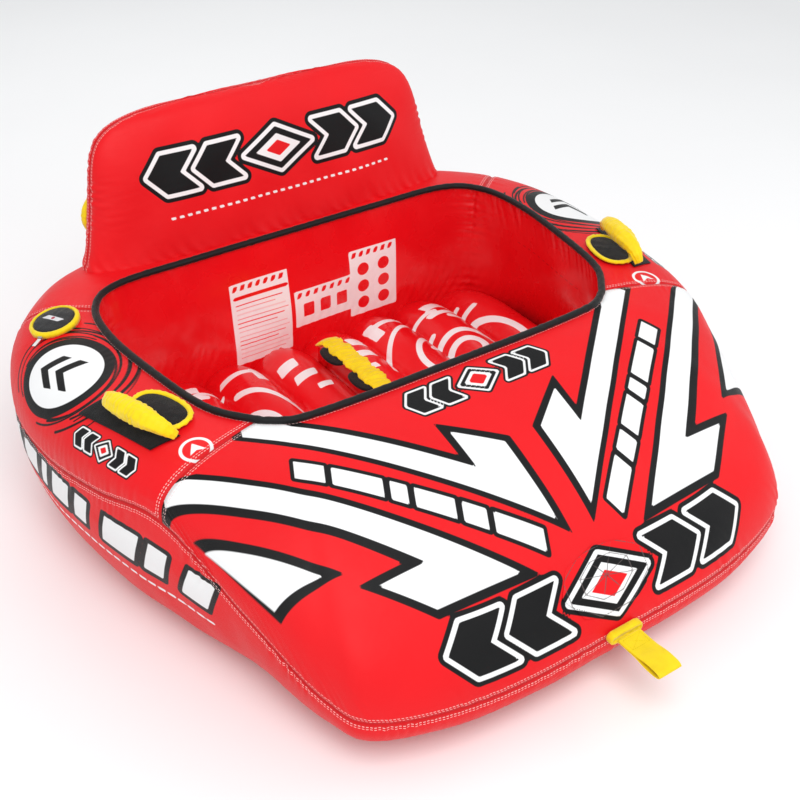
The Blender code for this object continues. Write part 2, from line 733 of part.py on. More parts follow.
def cut_hole(target, place, radius, name):
    """Cut a round valve hole through a cover panel."""
    shape = bmesh.new()
    bmesh.ops.create_cone(shape, cap_ends=True, segments=24, radius1=radius, radius2=radius, depth=0.06)
    cutter = finish(name, turned_round(shape, place.matrix()), target.data.materials[0])
    cutter.hide_render = True
    cutter.display_type = "WIRE"
    hole = target.modifiers.new("valve_hole", "BOOLEAN")
    hole.operation = "DIFFERENCE"
    hole.object = cutter


def zip_ring(place, count=28):
    """The zip's tape round a valve lid: it follows the cover below and is flat on top."""
    shape = bmesh.new()
    rows = []
    for radius, on_cover in (
        (ZIP_RING_INNER, True), (ZIP_RING_OUTER, True), (ZIP_RING_OUTER, False), (ZIP_RING_INNER, False),
    ):
        row = []
        for k in range(count):
            x = radius * math.cos(2 * math.pi * k / count)
            y = radius * math.sin(2 * math.pi * k / count)
            row.append(shape.verts.new(place.on_surface(x, y, 0.0012) if on_cover else place.at(x, y, ZIP_RING_TOP)))
        rows.append(row)
    stitch(shape, rows, True, True)
    return shape


def build_valve(place, name, park_angle, yellow, black, grey):
    """A valve under a zipped round lid: its body, cap, zip ring, lid, slider and pull."""
    frame = place.matrix()
    finish(f"{name}_zip_ring", zip_ring(place), yellow)
    flange = oval(2 * VALVE_FLANGE_RADIUS, 2 * VALVE_FLANGE_RADIUS, power=2.0)
    body = draped_plate(place, flange, VALVE_FLANGE_LOW, VALVE_FLANGE_TOP, 2)
    finish(f"{name}_body", body, grey)
    cap = disc(VALVE_CAP_RADIUS, VALVE_FLANGE_TOP + CLEARANCE, VALVE_CAP_TOP, count=16, bevel=0.0010)
    finish(f"{name}_cap", turned_round(cap, frame), black, place.origin)

    hinge = (-LID_RADIUS - 0.5 * CLEARANCE, 0.0, ZIP_RING_TOP + 0.5 * CLEARANCE)
    lid = disc(LID_RADIUS, LID_BOTTOM, LID_BOTTOM + LID_THICKNESS, dome=LID_DOME, bevel=0.0008)
    finish(f"{name}_lid", turned_round(lid, frame), black, frame @ Vector(hinge))

    turn = Matrix.Rotation(park_angle, 4, "Z")
    slider_centre = (ZIP_RING_OUTER + CLEARANCE + 0.5 * SLIDER_SIZE[0], 0.0, SLIDER_LOW + 0.5 * SLIDER_SIZE[2])
    slider = softened_box(SLIDER_SIZE, slider_centre, 0.0008)
    finish(f"{name}_slider", turned_round(slider, frame @ turn), grey, place.origin)
    pull_start = slider_centre[0] + 0.5 * SLIDER_SIZE[0] + 0.0016
    pull_height = slider_centre[2]
    pull_centre = (pull_start + 0.5 * PULL_SIZE[0], 0.0, pull_height)
    pull = softened_box(PULL_SIZE, pull_centre, 0.0006)
    pull_pivot = frame @ turn @ Vector((pull_start, 0.0, pull_height))
    finish(f"{name}_pull", turned_round(pull, frame @ turn), yellow, pull_pivot)
    return frame @ Vector(hinge), pull_pivot


def build_closure_zip(place, yellow, black, grey):
    """The closure across the back of the backrest, where its bladder goes in."""
    tape = draped_strip(place, CLOSURE_LENGTH, CLOSURE_WIDTH, *CLOSURE_LAYER, steps=10)
    finish("closure_zip_tape", tape, black)
    low = CLOSURE_LAYER[1] + CLOSURE_SLIDER_RISE
    start = -0.5 * CLOSURE_LENGTH + 0.025
    frame = place.matrix()
    slider = softened_box((0.016, 0.011, 0.0056), (start, 0.0, low + 0.0028), 0.0009)
    finish("closure_zip_slider", turned_round(slider, frame), grey, frame @ Vector((start, 0, low)))
    pivot = (start, 0.0075, low + 0.0028)
    pull = softened_box((0.010, 0.030, 0.0024), (start, pivot[1] + 0.016, low + 0.0028), 0.0007)
    finish("closure_zip_pull", turned_round(pull, frame), yellow, frame @ Vector(pivot))
    return frame @ Vector((start, 0, low)), frame @ Vector(pivot)


def build_tow_point(tree, yellow, red):
    """The tow loop at the bow, the collar it comes out of and the reinforcing patch behind it."""
    x, y, z = TOW_ROOT
    patch_place = Place(tree, (*HARNESS_CENTRE, 1.0), (0, 0, -1), (0, 1, 0))
    octagon = oval(*HARNESS_SIZE, count=24, power=3.0)
    finish("tow_harness_patch", draped_plate(patch_place, octagon, *HARNESS_LAYER, 7), red)
    collar_centre = (x, y - 0.5 * COLLAR_SIZE[1], z)
    finish("tow_collar", softened_box(COLLAR_SIZE, collar_centre, 0.003, 2), yellow)

    start = -COLLAR_SIZE[1] - TOW_COLLAR_GAP
    end = -TOW_LENGTH
    half_web = 0.5 * TOW_WEB
    neck = [(start, half_web * 2), (-TOW_EYE_START + 0.008, half_web * 2)]
    eye_mid = (-TOW_EYE_START + end) / 2
    half_eye = 0.5 * TOW_EYE_HEIGHT
    outer = neck + [(eye_mid, half_eye + TOW_WEB), (end + 0.010, half_eye + 0.6 * TOW_WEB), (end, 0.5 * half_eye)]
    outer_loop = outer + [(a, -b) for a, b in reversed(outer)]
    inner = [(-TOW_EYE_START, 0.0), (eye_mid, half_eye), (end + 0.011, half_eye * 0.8), (end + TOW_WEB + 0.001, 0.0)]
    inner_loop = inner + [(a, -b) for a, b in reversed(inner[1:-1])]
    shape = bmesh.new()
    for loop in (outer_loop, inner_loop):
        verts = [shape.verts.new((x - TOW_WIDTH / 2, y + a, z + b)) for a, b in loop]
        for first, second in zip(verts, verts[1:] + verts[:1]):
            shape.edges.new((first, second))
    bmesh.ops.triangle_fill(shape, edges=list(shape.edges), use_beauty=True)
    grown = bmesh.ops.extrude_face_region(shape, geom=list(shape.faces))
    moved = [item for item in grown["geom"] if isinstance(item, bmesh.types.BMVert)]
    bmesh.ops.translate(shape, verts=moved, vec=(TOW_WIDTH, 0, 0))
    pivot = (x, y + start + 0.0005, z)
    finish("tow_loop", shape, yellow, pivot)
    return pivot


def main():
    clear_scene()
    red = material("red_cover", RED, 0.45)
    red_pvc = material("red_pvc", RED, 0.28)
    yellow = material("yellow_webbing", YELLOW, 0.6)
    black = material("black_neoprene", BLACK, 0.7)
    under = material("black_cover", BLACK, 0.6)
    grey = material("grey_plastic", GREY, 0.4)

    surface = hull_grid()
    normals = grid_normals(surface)
    covers = build_covers(surface, normals, red)
    build_bottom_cover(surface, under)
    build_hull_bladder(surface, normals, red_pvc)
    build_rim_binding(surface, black)
    build_floor(surface, red_pvc)

    deck_tree = surface_tree(surface[:, RIM_COLUMN:UNDERSIDE_COLUMN + 1], True, False)
    backrest_covers = build_backrest(deck_tree, red, red_pvc)
    backrest_tree = surface_tree([backrest_ring(level) for level in BACKREST_LEVELS], False, True)

    build_side_handle(deck_tree, -1, "left_handle", LEFT_HANDLE_TILT, black, yellow)
    build_side_handle(deck_tree, 1, "right_handle", RIGHT_HANDLE_TILT, black, yellow)
    build_centre_handle(black, yellow, red_pvc)
    build_tow_point(deck_tree, yellow, red)

    deck_valve = Place(deck_tree, (*DECK_VALVE_PLACE, 1.0), (0, 0, -1), (-1, 0.1, 0))
    cut_hole(covers["left_deck_cover"], deck_valve, VALVE_HOLE_RADIUS, "deck_valve_cutter")
    build_valve(deck_valve, "deck_valve", math.radians(40), yellow, black, grey)
    valve_x, valve_z = BACKREST_VALVE_PLACE
    back_valve = Place(backrest_tree, (valve_x, 1.2, valve_z), (0, -1, 0), (-1, 0, 0))
    cut_hole(backrest_covers["backrest_rear_cover"], back_valve, VALVE_HOLE_RADIUS, "backrest_valve_cutter")
    build_valve(back_valve, "backrest_valve", math.radians(-80), yellow, black, grey)
    closure = Place(backrest_tree, (0.02, 1.2, CLOSURE_HEIGHT), (0, -1, 0), (1, 0, 0))
    build_closure_zip(closure, yellow, black, grey)


main()
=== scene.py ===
"""Looks of the towable tube: printed covers, glossy bladders, webbing, valves, floor, light and camera."""

import math

import bmesh
import bpy
import numpy as np
from mathutils import Matrix, Vector
from mathutils.bvhtree import BVHTree


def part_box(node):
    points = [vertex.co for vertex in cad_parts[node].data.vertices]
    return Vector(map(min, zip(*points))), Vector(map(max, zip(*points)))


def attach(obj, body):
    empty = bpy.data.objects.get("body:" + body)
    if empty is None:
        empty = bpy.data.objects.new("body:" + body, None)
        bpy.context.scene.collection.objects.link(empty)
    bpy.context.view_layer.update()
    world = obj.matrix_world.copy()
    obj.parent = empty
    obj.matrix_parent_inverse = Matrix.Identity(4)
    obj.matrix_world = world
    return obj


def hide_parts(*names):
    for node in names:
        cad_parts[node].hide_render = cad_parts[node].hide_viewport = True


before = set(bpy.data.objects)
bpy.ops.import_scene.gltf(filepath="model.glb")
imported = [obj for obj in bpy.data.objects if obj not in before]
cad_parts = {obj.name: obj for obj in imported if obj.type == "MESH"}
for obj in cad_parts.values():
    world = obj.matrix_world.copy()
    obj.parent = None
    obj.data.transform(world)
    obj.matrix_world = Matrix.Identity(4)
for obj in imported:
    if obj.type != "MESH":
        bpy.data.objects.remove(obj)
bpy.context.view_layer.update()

RED = (0.80, 0.0055, 0.010)
DARK_RED = (0.50, 0.004, 0.008)
WHITE = (0.90, 0.90, 0.90)
BLACK = (0.0035, 0.0035, 0.004)
YELLOW = (0.98, 0.72, 0.002)

# ---- The hull's surface: the same stations as the CAD covers, sampled finely --------------------------------

RIM_HEIGHT = 0.470
RIM_OUTLINE = [
    (0.0, -0.157), (0.22, -0.157), (0.36, -0.150), (0.405, -0.138), (0.430, -0.122), (0.4525, -0.102),
    (0.510, -0.020), (0.542, 0.120), (0.566, 0.330), (0.545, 0.470), (0.460, 0.540), (0.250, 0.548), (0.0, 0.548),
]
SEAM_OUTLINE = [
    (0.0, -0.705, 0.14), (0.30, -0.696, 0.14), (0.515, -0.638, 0.15), (0.580, -0.545, 0.17), (0.635, -0.370, 0.26),
    (0.694, -0.165, 0.37), (0.750, 0.020, 0.345), (0.782, 0.220, 0.315), (0.777, 0.420, 0.31), (0.700, 0.600, 0.33),
    (0.530, 0.755, 0.345), (0.270, 0.822, 0.35), (0.0, 0.836, 0.35),
]
CROWN_POWERS = [1.6, 1.6, 1.75, 1.9, 2.3, 2.8, 2.8, 2.8, 2.8, 2.8, 2.8, 2.8, 2.8]
FOOT_OUTSETS = [0.03, 0.03, 0.03, 0.03, 0.03, 0.03, 0.04, 0.05, 0.03, 0.0, -0.02, -0.022, -0.022]
UNDERSIDE_SHARES = [0.68, 0.67, 0.66, 0.72, 0.78, 0.81, 0.81, 0.81, 0.81, 0.81, 0.81, 0.81, 0.81]
EQUATOR_HEIGHT = 0.26
EQUATOR_BULGE = 0.012
EQUATOR_DROP = 0.02
UNDERSIDE_CENTRE = np.array((0.0, 0.065))
FOOT_HEIGHT = 0.134
WALL_BULGE = 0.012
FRONT_SEAM = 5
STERN_SEAM = 9
ALL_STATIONS = 24
CURVE_STEPS = 120
WALL_STEPS = 60
EQUATOR_STEPS = 8


def ring_at(values, station, flip_first=True):
    """A point of a closed outline at a station number, on a Catmull-Rom curve through its points."""
    half = [np.atleast_1d(np.array(value, float)) for value in values]
    mirror = []
    for point in half[-2:0:-1]:
        other = point.copy()
        if flip_first:
            other[0] = -other[0]
        mirror.append(other)
    whole = half + mirror
    if flip_first:
        whole = [point * np.array((-1.0,) + (1.0,) * (len(point) - 1)) for point in whole]
    index = math.floor(station)
    t = station - index
    a, b, c, d = (whole[(index + step) % len(whole)] for step in (-1, 0, 1, 2))
    return 0.5 * (2 * b + (c - a) * t + (2 * a - 5 * b + 4 * c - d) * t**2 + (3 * b - a - 3 * c + d) * t**3)


def even(points, count):
    """The same line with its points spread evenly along it."""
    points = np.array(points)
    steps = np.linalg.norm(np.diff(points, axis=0), axis=1)
    length = np.concatenate(([0.0], np.cumsum(steps)))
    wanted = np.linspace(0.0, length[-1], count)
    return np.stack([np.interp(wanted, length, points[:, axis]) for axis in range(points.shape[1])], axis=1)


def hull_section(station, part, count):
    """One line across the hull at a station: its wall, its deck or its side, evenly sampled."""
    rim = ring_at(RIM_OUTLINE, station)
    seam = ring_at(SEAM_OUTLINE, station)
    outward = seam[:2] - rim
    outward /= np.linalg.norm(outward)
    turns = np.linspace(0.0, 0.5 * math.pi, CURVE_STEPS)
    line = []
    if part == "wall":
        foot = rim + outward * ring_at(FOOT_OUTSETS, station, False)[0]
        for t in np.linspace(0.0, 1.0, WALL_STEPS):
            place = foot * (1 - t) + rim * t - outward * WALL_BULGE * math.sin(math.pi * t)
            line.append((*place, FOOT_HEIGHT + (RIM_HEIGHT - FOOT_HEIGHT) * t))
    elif part == "deck":
        crown = ring_at(CROWN_POWERS, station, False)[0]
        for turn in turns:
            along = math.sin(turn) ** (2 / crown)
            height = max(math.cos(turn), 0.0) ** (2 / crown)
            place = rim * (1 - along) + seam[:2] * along
            line.append((*place, seam[2] + (RIM_HEIGHT - seam[2]) * height))
    else:
        equator_height = min(seam[2] - EQUATOR_DROP, EQUATOR_HEIGHT)
        share = (seam[2] - equator_height - EQUATOR_DROP) / (RIM_HEIGHT - EQUATOR_HEIGHT)
        equator = seam[:2] + outward * EQUATOR_BULGE * share
        underside = UNDERSIDE_CENTRE + (equator - UNDERSIDE_CENTRE) * ring_at(UNDERSIDE_SHARES, station, False)[0]
        for t in np.linspace(0.0, 1.0, EQUATOR_STEPS)[:-1]:
            place = seam[:2] * (1 - t) + equator * t
            line.append((*place, seam[2] * (1 - t) + equator_height * t))
        for turn in turns:
            place = underside + (equator - underside) * math.cos(turn)
            line.append((*place, equator_height * (1 - math.sin(turn))))
    return even(line, count)


def hull_grid(part, first, last, rings, count):
    """Lines across the hull from one station to another, as rows of a grid."""
    return np.array([hull_section(station, part, count) for station in np.linspace(first, last, rings)])


# ---- Small maths ---------------------------------------------------------------------------------------------

FAR_AWAY = 9.0
TINY = 1e-9


def full_turn(count):
    """Angles spread evenly round a circle, without the last one that would repeat the first."""
    return np.linspace(0, 2 * math.pi, count, endpoint=False)


def smoothed(points, rounds):
    """The same line with its inner points averaged with their neighbours, over and over."""
    points = points.copy()
    for _ in range(rounds):
        points[1:-1] = (points[:-2] + 2 * points[1:-1] + points[2:]) / 4
    return points


def grid_normals(points):
    """Unit normals of a grid of points."""
    normal = np.cross(np.gradient(points, axis=0), np.gradient(points, axis=1))
    return normal / np.maximum(np.linalg.norm(normal, axis=2, keepdims=True), TINY)


def arc(points, axis):
    """Distance along each line of a grid from its first point."""
    steps = np.linalg.norm(np.diff(points, axis=axis), axis=2)
    start = np.zeros_like(np.take(steps, [0], axis=axis))
    return np.concatenate((start, np.cumsum(steps, axis=axis)), axis=axis)


def waves(seed, *coordinates, wavelengths, terms=14):
    """Smooth noise from sums of sines, between about -1 and 1. Each coordinate has its own wavelength."""
    chance = np.random.default_rng(seed)
    total = 0.0
    for _ in range(terms):
        phase = chance.uniform(0, 2 * math.pi)
        for coordinate, wavelength in zip(coordinates, wavelengths):
            stretch = chance.uniform(0.6, 1.8) * chance.choice((-1, 1))
            phase = phase + 2 * math.pi * coordinate * stretch / wavelength
        total = total + np.sin(phase)
    return total / math.sqrt(terms)


def to_edge(points, a, b):
    """Distance from points to the straight edge from a to b."""
    edge = b - a
    share = np.clip(((points - a) @ edge) / (edge @ edge), 0, 1)
    return np.linalg.norm(points - a - share[:, None] * edge, axis=1)


def polygon(points, corners):
    """Signed distance from points to a polygon, negative inside."""
    corners = np.array(corners, float)
    distance = np.full(len(points), FAR_AWAY)
    inside = np.zeros(len(points), bool)
    for a, b in zip(corners, np.roll(corners, -1, axis=0)):
        distance = np.minimum(distance, to_edge(points, a, b))
        crossing = (a[1] <= points[:, 1]) != (b[1] <= points[:, 1])
        rise = b[1] - a[1] if abs(b[1] - a[1]) > TINY else TINY
        inside ^= crossing & (points[:, 0] < a[0] + (points[:, 1] - a[1]) * (b[0] - a[0]) / rise)
    return np.where(inside, -distance, distance)


def box_corners(x0, y0, x1, y1):
    return [(x0, y0), (x1, y0), (x1, y1), (x0, y1)]


def disc(points, centre, radius):
    """Signed distance from points to a disc, negative inside."""
    return np.linalg.norm(points - centre, axis=1) - radius


def line(points, path, half_width):
    """Signed distance to a line of a given half width."""
    distance = np.full(len(points), FAR_AWAY)
    for a, b in zip(np.array(path[:-1], float), np.array(path[1:], float)):
        distance = np.minimum(distance, to_edge(points, a, b))
    return distance - half_width


def arc_path(centre, radius, start, end, count, stretch=1.0):
    """Points along an arc, from a start angle to an end angle in degrees."""
    angles = np.radians(np.linspace(start, end, count))
    return [(centre[0] + radius * math.cos(a) * stretch, centre[1] + radius * math.sin(a)) for a in angles]


# ---- Prints: four layers of signed distance, painted one over another ---------------------------------------

LAYERS = ("ink_one", "ink_two", "ink_three", "ink_four")
PRINT_REACH = 0.05


class Print:
    """Printed shapes on a surface. Each layer covers those before it: on the covers, dark, white, dark and red."""

    def __init__(self, points):
        self.points = points
        self.layers = {name: np.full(len(points), PRINT_REACH) for name in LAYERS}

    def add(self, name, distance):
        self.layers[name] = np.minimum(self.layers[name], np.clip(distance, -PRINT_REACH, PRINT_REACH))

    def outlined(self, distance, outline):
        """A white shape with a dark outline."""
        self.add("ink_two", distance)
        self.add("ink_one", distance - outline)

    def on_grid(self, grid):
        """The layers in the shape of the grid that their points came from."""
        return {name: values.reshape(grid.shape[:2]) for name, values in self.layers.items()}


def emblem(sheet, points, half_width, half_height, line_width):
    """A generic mark: chevrons either side of a diamond, dark with a white edge and a dark line round it."""
    w, h = half_width, half_height
    slant = 0.12 * w
    thick = 0.26 * w
    shapes = []
    for side in (-1, 1):
        for x in (0.30 * w, 0.64 * w):
            shoulder = x + thick - slant * 0.2
            tip = x + thick + slant * 0.8
            corners = [(x, h), (shoulder, h), (tip, 0.0), (shoulder, -h), (x, -h), (x + slant, 0.0)]
            shapes.append(polygon(points, [(side * a, b) for a, b in corners]))
    diamond = [(-0.27 * w, 0.0), (0.0, 1.12 * h), (0.27 * w, 0.0), (0.0, -1.12 * h)]
    centre = polygon(points, diamond)
    dark = np.minimum.reduce(shapes)
    everything = np.minimum(dark, centre)
    sheet.add("ink_three", dark)
    sheet.add("ink_three", np.maximum(centre, -(centre + 1.5 * line_width)))
    sheet.add("ink_two", everything - line_width)
    sheet.add("ink_one", everything - 2.0 * line_width)
    sheet.add("ink_four", centre + 2.9 * line_width)


def blocks(sheet, points, start, end, height, outline, widths=(1.0, 0.5, 0.8, 0.35, 1.0, 0.6), slant=0.25):
    """A row of generic stencil blocks from start to end, white with a dark outline."""
    start = np.array(start, float)
    end = np.array(end, float)
    run = end - start
    length = np.linalg.norm(run)
    run /= length
    up = np.array((-run[1], run[0]))
    local = np.stack(((points - start) @ run, (points - start) @ up), axis=1)
    gap = 0.30 * height
    unit = (length - gap * (len(widths) - 1)) / sum(widths)
    half = height / 2
    lean = slant * half
    x = 0.0
    for index, share in enumerate(widths):
        width = share * unit
        right = x + width
        shape = polygon(local, [(x - lean, -half), (right - lean, -half), (right + lean, half), (x + lean, half)])
        shape = shape + 0.12 * height
        if share > 0.7:
            level = (0.0, 0.16, -0.16)[index % 3] * height
            low, high = level - 0.09 * height, level + 0.09 * height
            slot = polygon(local, box_corners(x + 0.30 * width, low, right, high))
            shape = np.maximum(shape, -slot)
        sheet.outlined(shape - 0.10 * height, outline)
        x += width + gap


# ---- Meshes --------------------------------------------------------------------------------------------------


def set_layers(mesh, layers):
    """Numbers at a mesh's points, for its material to read."""
    for key, values in layers.items():
        attribute = mesh.attributes.new(key, "FLOAT", "POINT")
        attribute.data.foreach_set("value", np.asarray(values, np.float32))


def mesh_object(name, points, faces, material, facing=None, layers=None, uv=None, smooth=True):
    """A mesh from points and faces. facing(centre) gives the way its faces should look on the whole."""
    mesh = bpy.data.meshes.new(name)
    mesh.from_pydata([tuple(map(float, point)) for point in points], [], [tuple(face) for face in faces])
    mesh.update()
    if facing is not None:
        total = sum(face.area * face.normal.dot(Vector(facing(face.center))) for face in mesh.polygons)
        if total < 0:
            mesh.flip_normals()
    if smooth:
        mesh.polygons.foreach_set("use_smooth", [True] * len(mesh.polygons))
    set_layers(mesh, layers or {})
    if uv is not None:
        layer = mesh.uv_layers.new(name="cloth")
        loops = np.empty(len(mesh.loops), np.int32)
        mesh.loops.foreach_get("vertex_index", loops)
        layer.data.foreach_set("uv", np.asarray(uv, np.float32)[loops].ravel())
    mesh.materials.append(material)
    obj = bpy.data.objects.new(name, mesh)
    bpy.context.collection.objects.link(obj)
    return obj


def grid_faces(rows, columns, closed_rows=False, closed_columns=False):
    """Quads between the points of a grid. A closed way joins its last line to its first."""
    faces = []
    for r in range(rows if closed_rows else rows - 1):
        for c in range(columns if closed_columns else columns - 1):
            a = r * columns + c
            b = r * columns + (c + 1) % columns
            d = ((r + 1) % rows) * columns + c
            e = ((r + 1) % rows) * columns + (c + 1) % columns
            faces.append((a, b, e, d))
    return faces


def grid_object(name, grid, material, facing, layers=None, closed_columns=False):
    """A mesh from a grid of points, with distances along the grid as its cloth coordinates."""
    rows, columns, _ = grid.shape
    uv = np.stack((arc(grid, 0), arc(grid, 1)), axis=2)
    faces = grid_faces(rows, columns, closed_columns=closed_columns)
    flat = {key: np.asarray(value).reshape(-1) for key, value in (layers or {}).items()}
    return mesh_object(name, grid.reshape(-1, 3), faces, material, facing, flat, uv.reshape(-1, 2))


def tube(name, rings, material, caps=True, closed=False):
    """A tube through rings of points, with its ends capped, left open or, when closed, joined to each other."""
    rings = np.array(rings)
    rows, columns, _ = rings.shape
    faces = grid_faces(rows, columns, closed, True)
    points = list(rings.reshape(-1, 3))
    if caps and not closed:
        for row in (0, rows - 1):
            middle = len(points)
            points.append(rings[row].mean(axis=0))
            ring = [row * columns + c for c in range(columns)]
            for a, b in zip(ring, ring[1:] + ring[:1]):
                faces.append((middle, b, a) if row == 0 else (middle, a, b))
    obj = mesh_object(name, points, faces, material)
    shape = bmesh.new()
    shape.from_mesh(obj.data)
    bmesh.ops.recalc_face_normals(shape, faces=shape.faces)
    shape.to_mesh(obj.data)
    shape.free()
    obj.data.polygons.foreach_set("use_smooth", [True] * len(obj.data.polygons))
    return obj


# ---- Materials -----------------------------------------------------------------------------------------------


class Shader:
    """A node material under construction."""

    def __init__(self, name, roughness=0.5, specular=0.4, **settings):
        self.material = bpy.data.materials.new(name)
        self.material.use_nodes = True
        self.tree = self.material.node_tree
        self.surface = next(node for node in self.tree.nodes if node.type == "BSDF_PRINCIPLED")
        self.surface.inputs["Roughness"].default_value = roughness
        self.surface.inputs["Specular IOR Level"].default_value = specular
        for key, value in settings.items():
            self.surface.inputs[key.replace("_", " ").title()].default_value = value
        self.heights = []

    def node(self, kind, inputs=None, **properties):
        node = self.tree.nodes.new(kind)
        for key, value in properties.items():
            setattr(node, key, value)
        for key, value in (inputs or {}).items():
            if isinstance(value, bpy.types.NodeSocket):
                self.tree.links.new(value, node.inputs[key])
            else:
                node.inputs[key].default_value = value
        return node

    def math(self, operation, a, b=0.0):
        return self.node("ShaderNodeMath", {0: a, 1: b}, operation=operation).outputs[0]

    def place(self, uv=False):
        return self.node("ShaderNodeTexCoord").outputs["UV" if uv else "Object"]

    def noise(self, scale, detail=3.0):
        sockets = {"Vector": self.place(), "Scale": scale, "Detail": detail, "Roughness": 0.5}
        return self.node("ShaderNodeTexNoise", sockets).outputs["Fac"]

    def attribute(self, name):
        return self.node("ShaderNodeAttribute", attribute_name=name).outputs["Fac"]

    def ramp(self, value, low, high, to_low=0.0, to_high=1.0):
        sockets = {"Value": value, "From Min": low, "From Max": high, "To Min": to_low, "To Max": to_high}
        return self.node("ShaderNodeMapRange", sockets, clamp=True).outputs[0]

    def mix(self, factor, a, b, blend="MIX"):
        node = self.node("ShaderNodeMix", data_type="RGBA", blend_type=blend)
        for socket, value in ((node.inputs[0], factor), (node.inputs[6], a), (node.inputs[7], b)):
            if isinstance(value, bpy.types.NodeSocket):
                self.tree.links.new(value, socket)
            elif isinstance(value, tuple):
                socket.default_value = (*value, 1.0)
            else:
                socket.default_value = value
        return node.outputs[2]

    def shade(self, colour, factor, dark=0.82, light=1.06):
        """The colour varied between a darker and a lighter shade."""
        level = self.ramp(factor, 0.25, 0.75, dark, light)
        grey = self.node("ShaderNodeCombineColor", {"Red": level, "Green": level, "Blue": level}).outputs[0]
        return self.mix(1.0, colour, grey, "MULTIPLY")

    def raise_by(self, height, metres):
        self.heights.append(self.math("MULTIPLY", height, metres))

    def weave(self, period, metres, uv=True):
        """Over-and-under yarns along both ways of the cloth."""
        split = self.node("ShaderNodeSeparateXYZ", {"Vector": self.place(uv)})
        turns = 2 * math.pi / period
        a = self.math("SINE", self.math("MULTIPLY", split.outputs[0], turns))
        b = self.math("SINE", self.math("MULTIPLY", split.outputs[1], turns))
        yarn = self.math("MULTIPLY", a, b)
        self.raise_by(yarn, metres)
        return yarn

    def uneven(self, noise, roughness, less, more):
        """A roughness that varies from less below its value to more above it."""
        return self.ramp(noise, 0.3, 0.7, roughness - less, roughness + more)

    def finish(self, colour, roughness=None):
        self.tree.links.new(colour, self.surface.inputs["Base Color"])
        if roughness is not None:
            self.tree.links.new(roughness, self.surface.inputs["Roughness"])
        total = None
        for height in self.heights:
            total = height if total is None else self.math("ADD", total, height)
        if total is not None:
            bump = self.node("ShaderNodeBump", {"Height": total, "Distance": 1.0, "Strength": 1.0})
            self.tree.links.new(bump.outputs[0], self.surface.inputs["Normal"])
        return self.material


PRINT_EDGE = 0.0007
STITCH_ROWS = (0.0075, 0.0125)
STITCH_PITCH = 0.0075
STITCH_GAP = -0.35
COVER_ROUGHNESS = 0.46
COVER_SPECULAR = 0.22
COVER_SHEEN = {"sheen_weight": 0.02, "sheen_roughness": 0.4}


def printed(shader, base, inks):
    """The base colour with the print's layers over it, one ink for each."""
    colour = base
    for name, ink in zip(LAYERS, inks):
        if ink is None:
            continue
        cover = shader.ramp(shader.attribute(name), -PRINT_EDGE, PRINT_EDGE, 1.0, 0.0)
        colour = shader.mix(cover, colour, ink)
    return colour


def stitched(shader, colour, thread):
    """Dashed lines of thread beside a seam, in colour and in height."""
    distance = shader.attribute("seam_distance")
    turns = shader.math("MULTIPLY", shader.attribute("seam_along"), 2 * math.pi / STITCH_PITCH)
    dash = shader.math("GREATER_THAN", shader.math("SINE", turns), STITCH_GAP)
    for row in STITCH_ROWS:
        away = shader.math("ABSOLUTE", shader.math("SUBTRACT", distance, row))
        near = shader.ramp(away, 0.0005, 0.0011, 1.0, 0.0)
        hit = shader.math("MULTIPLY", near, dash)
        colour = shader.mix(shader.math("MULTIPLY", hit, 0.75), colour, thread)
        shader.raise_by(hit, 0.0004)
        shader.raise_by(shader.ramp(away, 0.0, 0.003, 1.0, 0.0), -0.0003)
    return colour


def cover_fabric(name, base, inks, thread):
    """Printed woven cloth, darkened at its seams by painted shade and grime, with two rows of stitches."""
    shader = Shader(name, COVER_ROUGHNESS, COVER_SPECULAR, **COVER_SHEEN)
    colour = printed(shader, base, inks)
    colour = shader.shade(colour, shader.noise(2.2, 4.0), 0.90, 1.05)
    yarn = shader.weave(0.0016, 0.00005)
    colour = shader.shade(colour, yarn, 0.975, 1.015)
    # Painted shade and grime at the seams: the colour darkens to about 0.72 of itself within about 12 mm of a seam,
    # where the cloth is tucked into the seam's valley.
    seam_grime_and_shade = shader.ramp(shader.attribute("seam_distance"), 0.0, 0.012, 0.0, 1.0)
    colour = shader.shade(colour, shader.ramp(seam_grime_and_shade, 0.0, 1.0, 0.25, 0.65), 0.72, 1.06)
    colour = stitched(shader, colour, thread)
    shader.raise_by(shader.noise(14.0), 0.0016)
    shader.raise_by(shader.noise(60.0, 2.0), 0.00035)
    rough = shader.uneven(shader.noise(9.0), COVER_ROUGHNESS, 0.07, 0.08)
    return shader.finish(colour, rough)


def vinyl(name, base, inks, roughness=0.24):
    """Glossy coated sheet, printed where it has inks."""
    shader = Shader(name, roughness, coat_weight=0.25, coat_roughness=0.18)
    colour = printed(shader, base, inks)
    colour = shader.shade(colour, shader.noise(3.0), 0.90, 1.05)
    shader.raise_by(shader.noise(6.0), 0.0016)
    shader.raise_by(shader.noise(45.0, 2.0), 0.00018)
    rough = shader.uneven(shader.noise(12.0), roughness, 0.05, 0.10)
    return shader.finish(colour, rough)


def plain_fabric(name, base, roughness=0.6, weave=0.0014, depth=0.0001, sheen=0.2, lumps=0.0006):
    """Woven tape, webbing or knit in one colour."""
    shader = Shader(name, roughness, 0.25, sheen_weight=sheen, sheen_roughness=0.4)
    colour = shader.shade(base, shader.noise(35.0, 4.0), 0.86, 1.06)
    yarn = shader.weave(weave, depth, False)
    colour = shader.shade(colour, yarn, 0.93, 1.04)
    shader.raise_by(shader.noise(90.0), lumps)
    rough = shader.uneven(shader.noise(60.0, 2.0), roughness, 0.06, 0.08)
    return shader.finish(colour, rough)


def plastic(name, base, roughness, metallic=0.0):
    """Moulded plastic, or cast metal when metallic is set."""
    shader = Shader(name, roughness, metallic=metallic)
    colour = shader.shade(base, shader.noise(70.0), 0.88, 1.08)
    shader.raise_by(shader.noise(700.0, 2.0), 0.00008)
    rough = shader.uneven(shader.noise(110.0), roughness, 0.07, 0.12)
    return shader.finish(colour, rough)


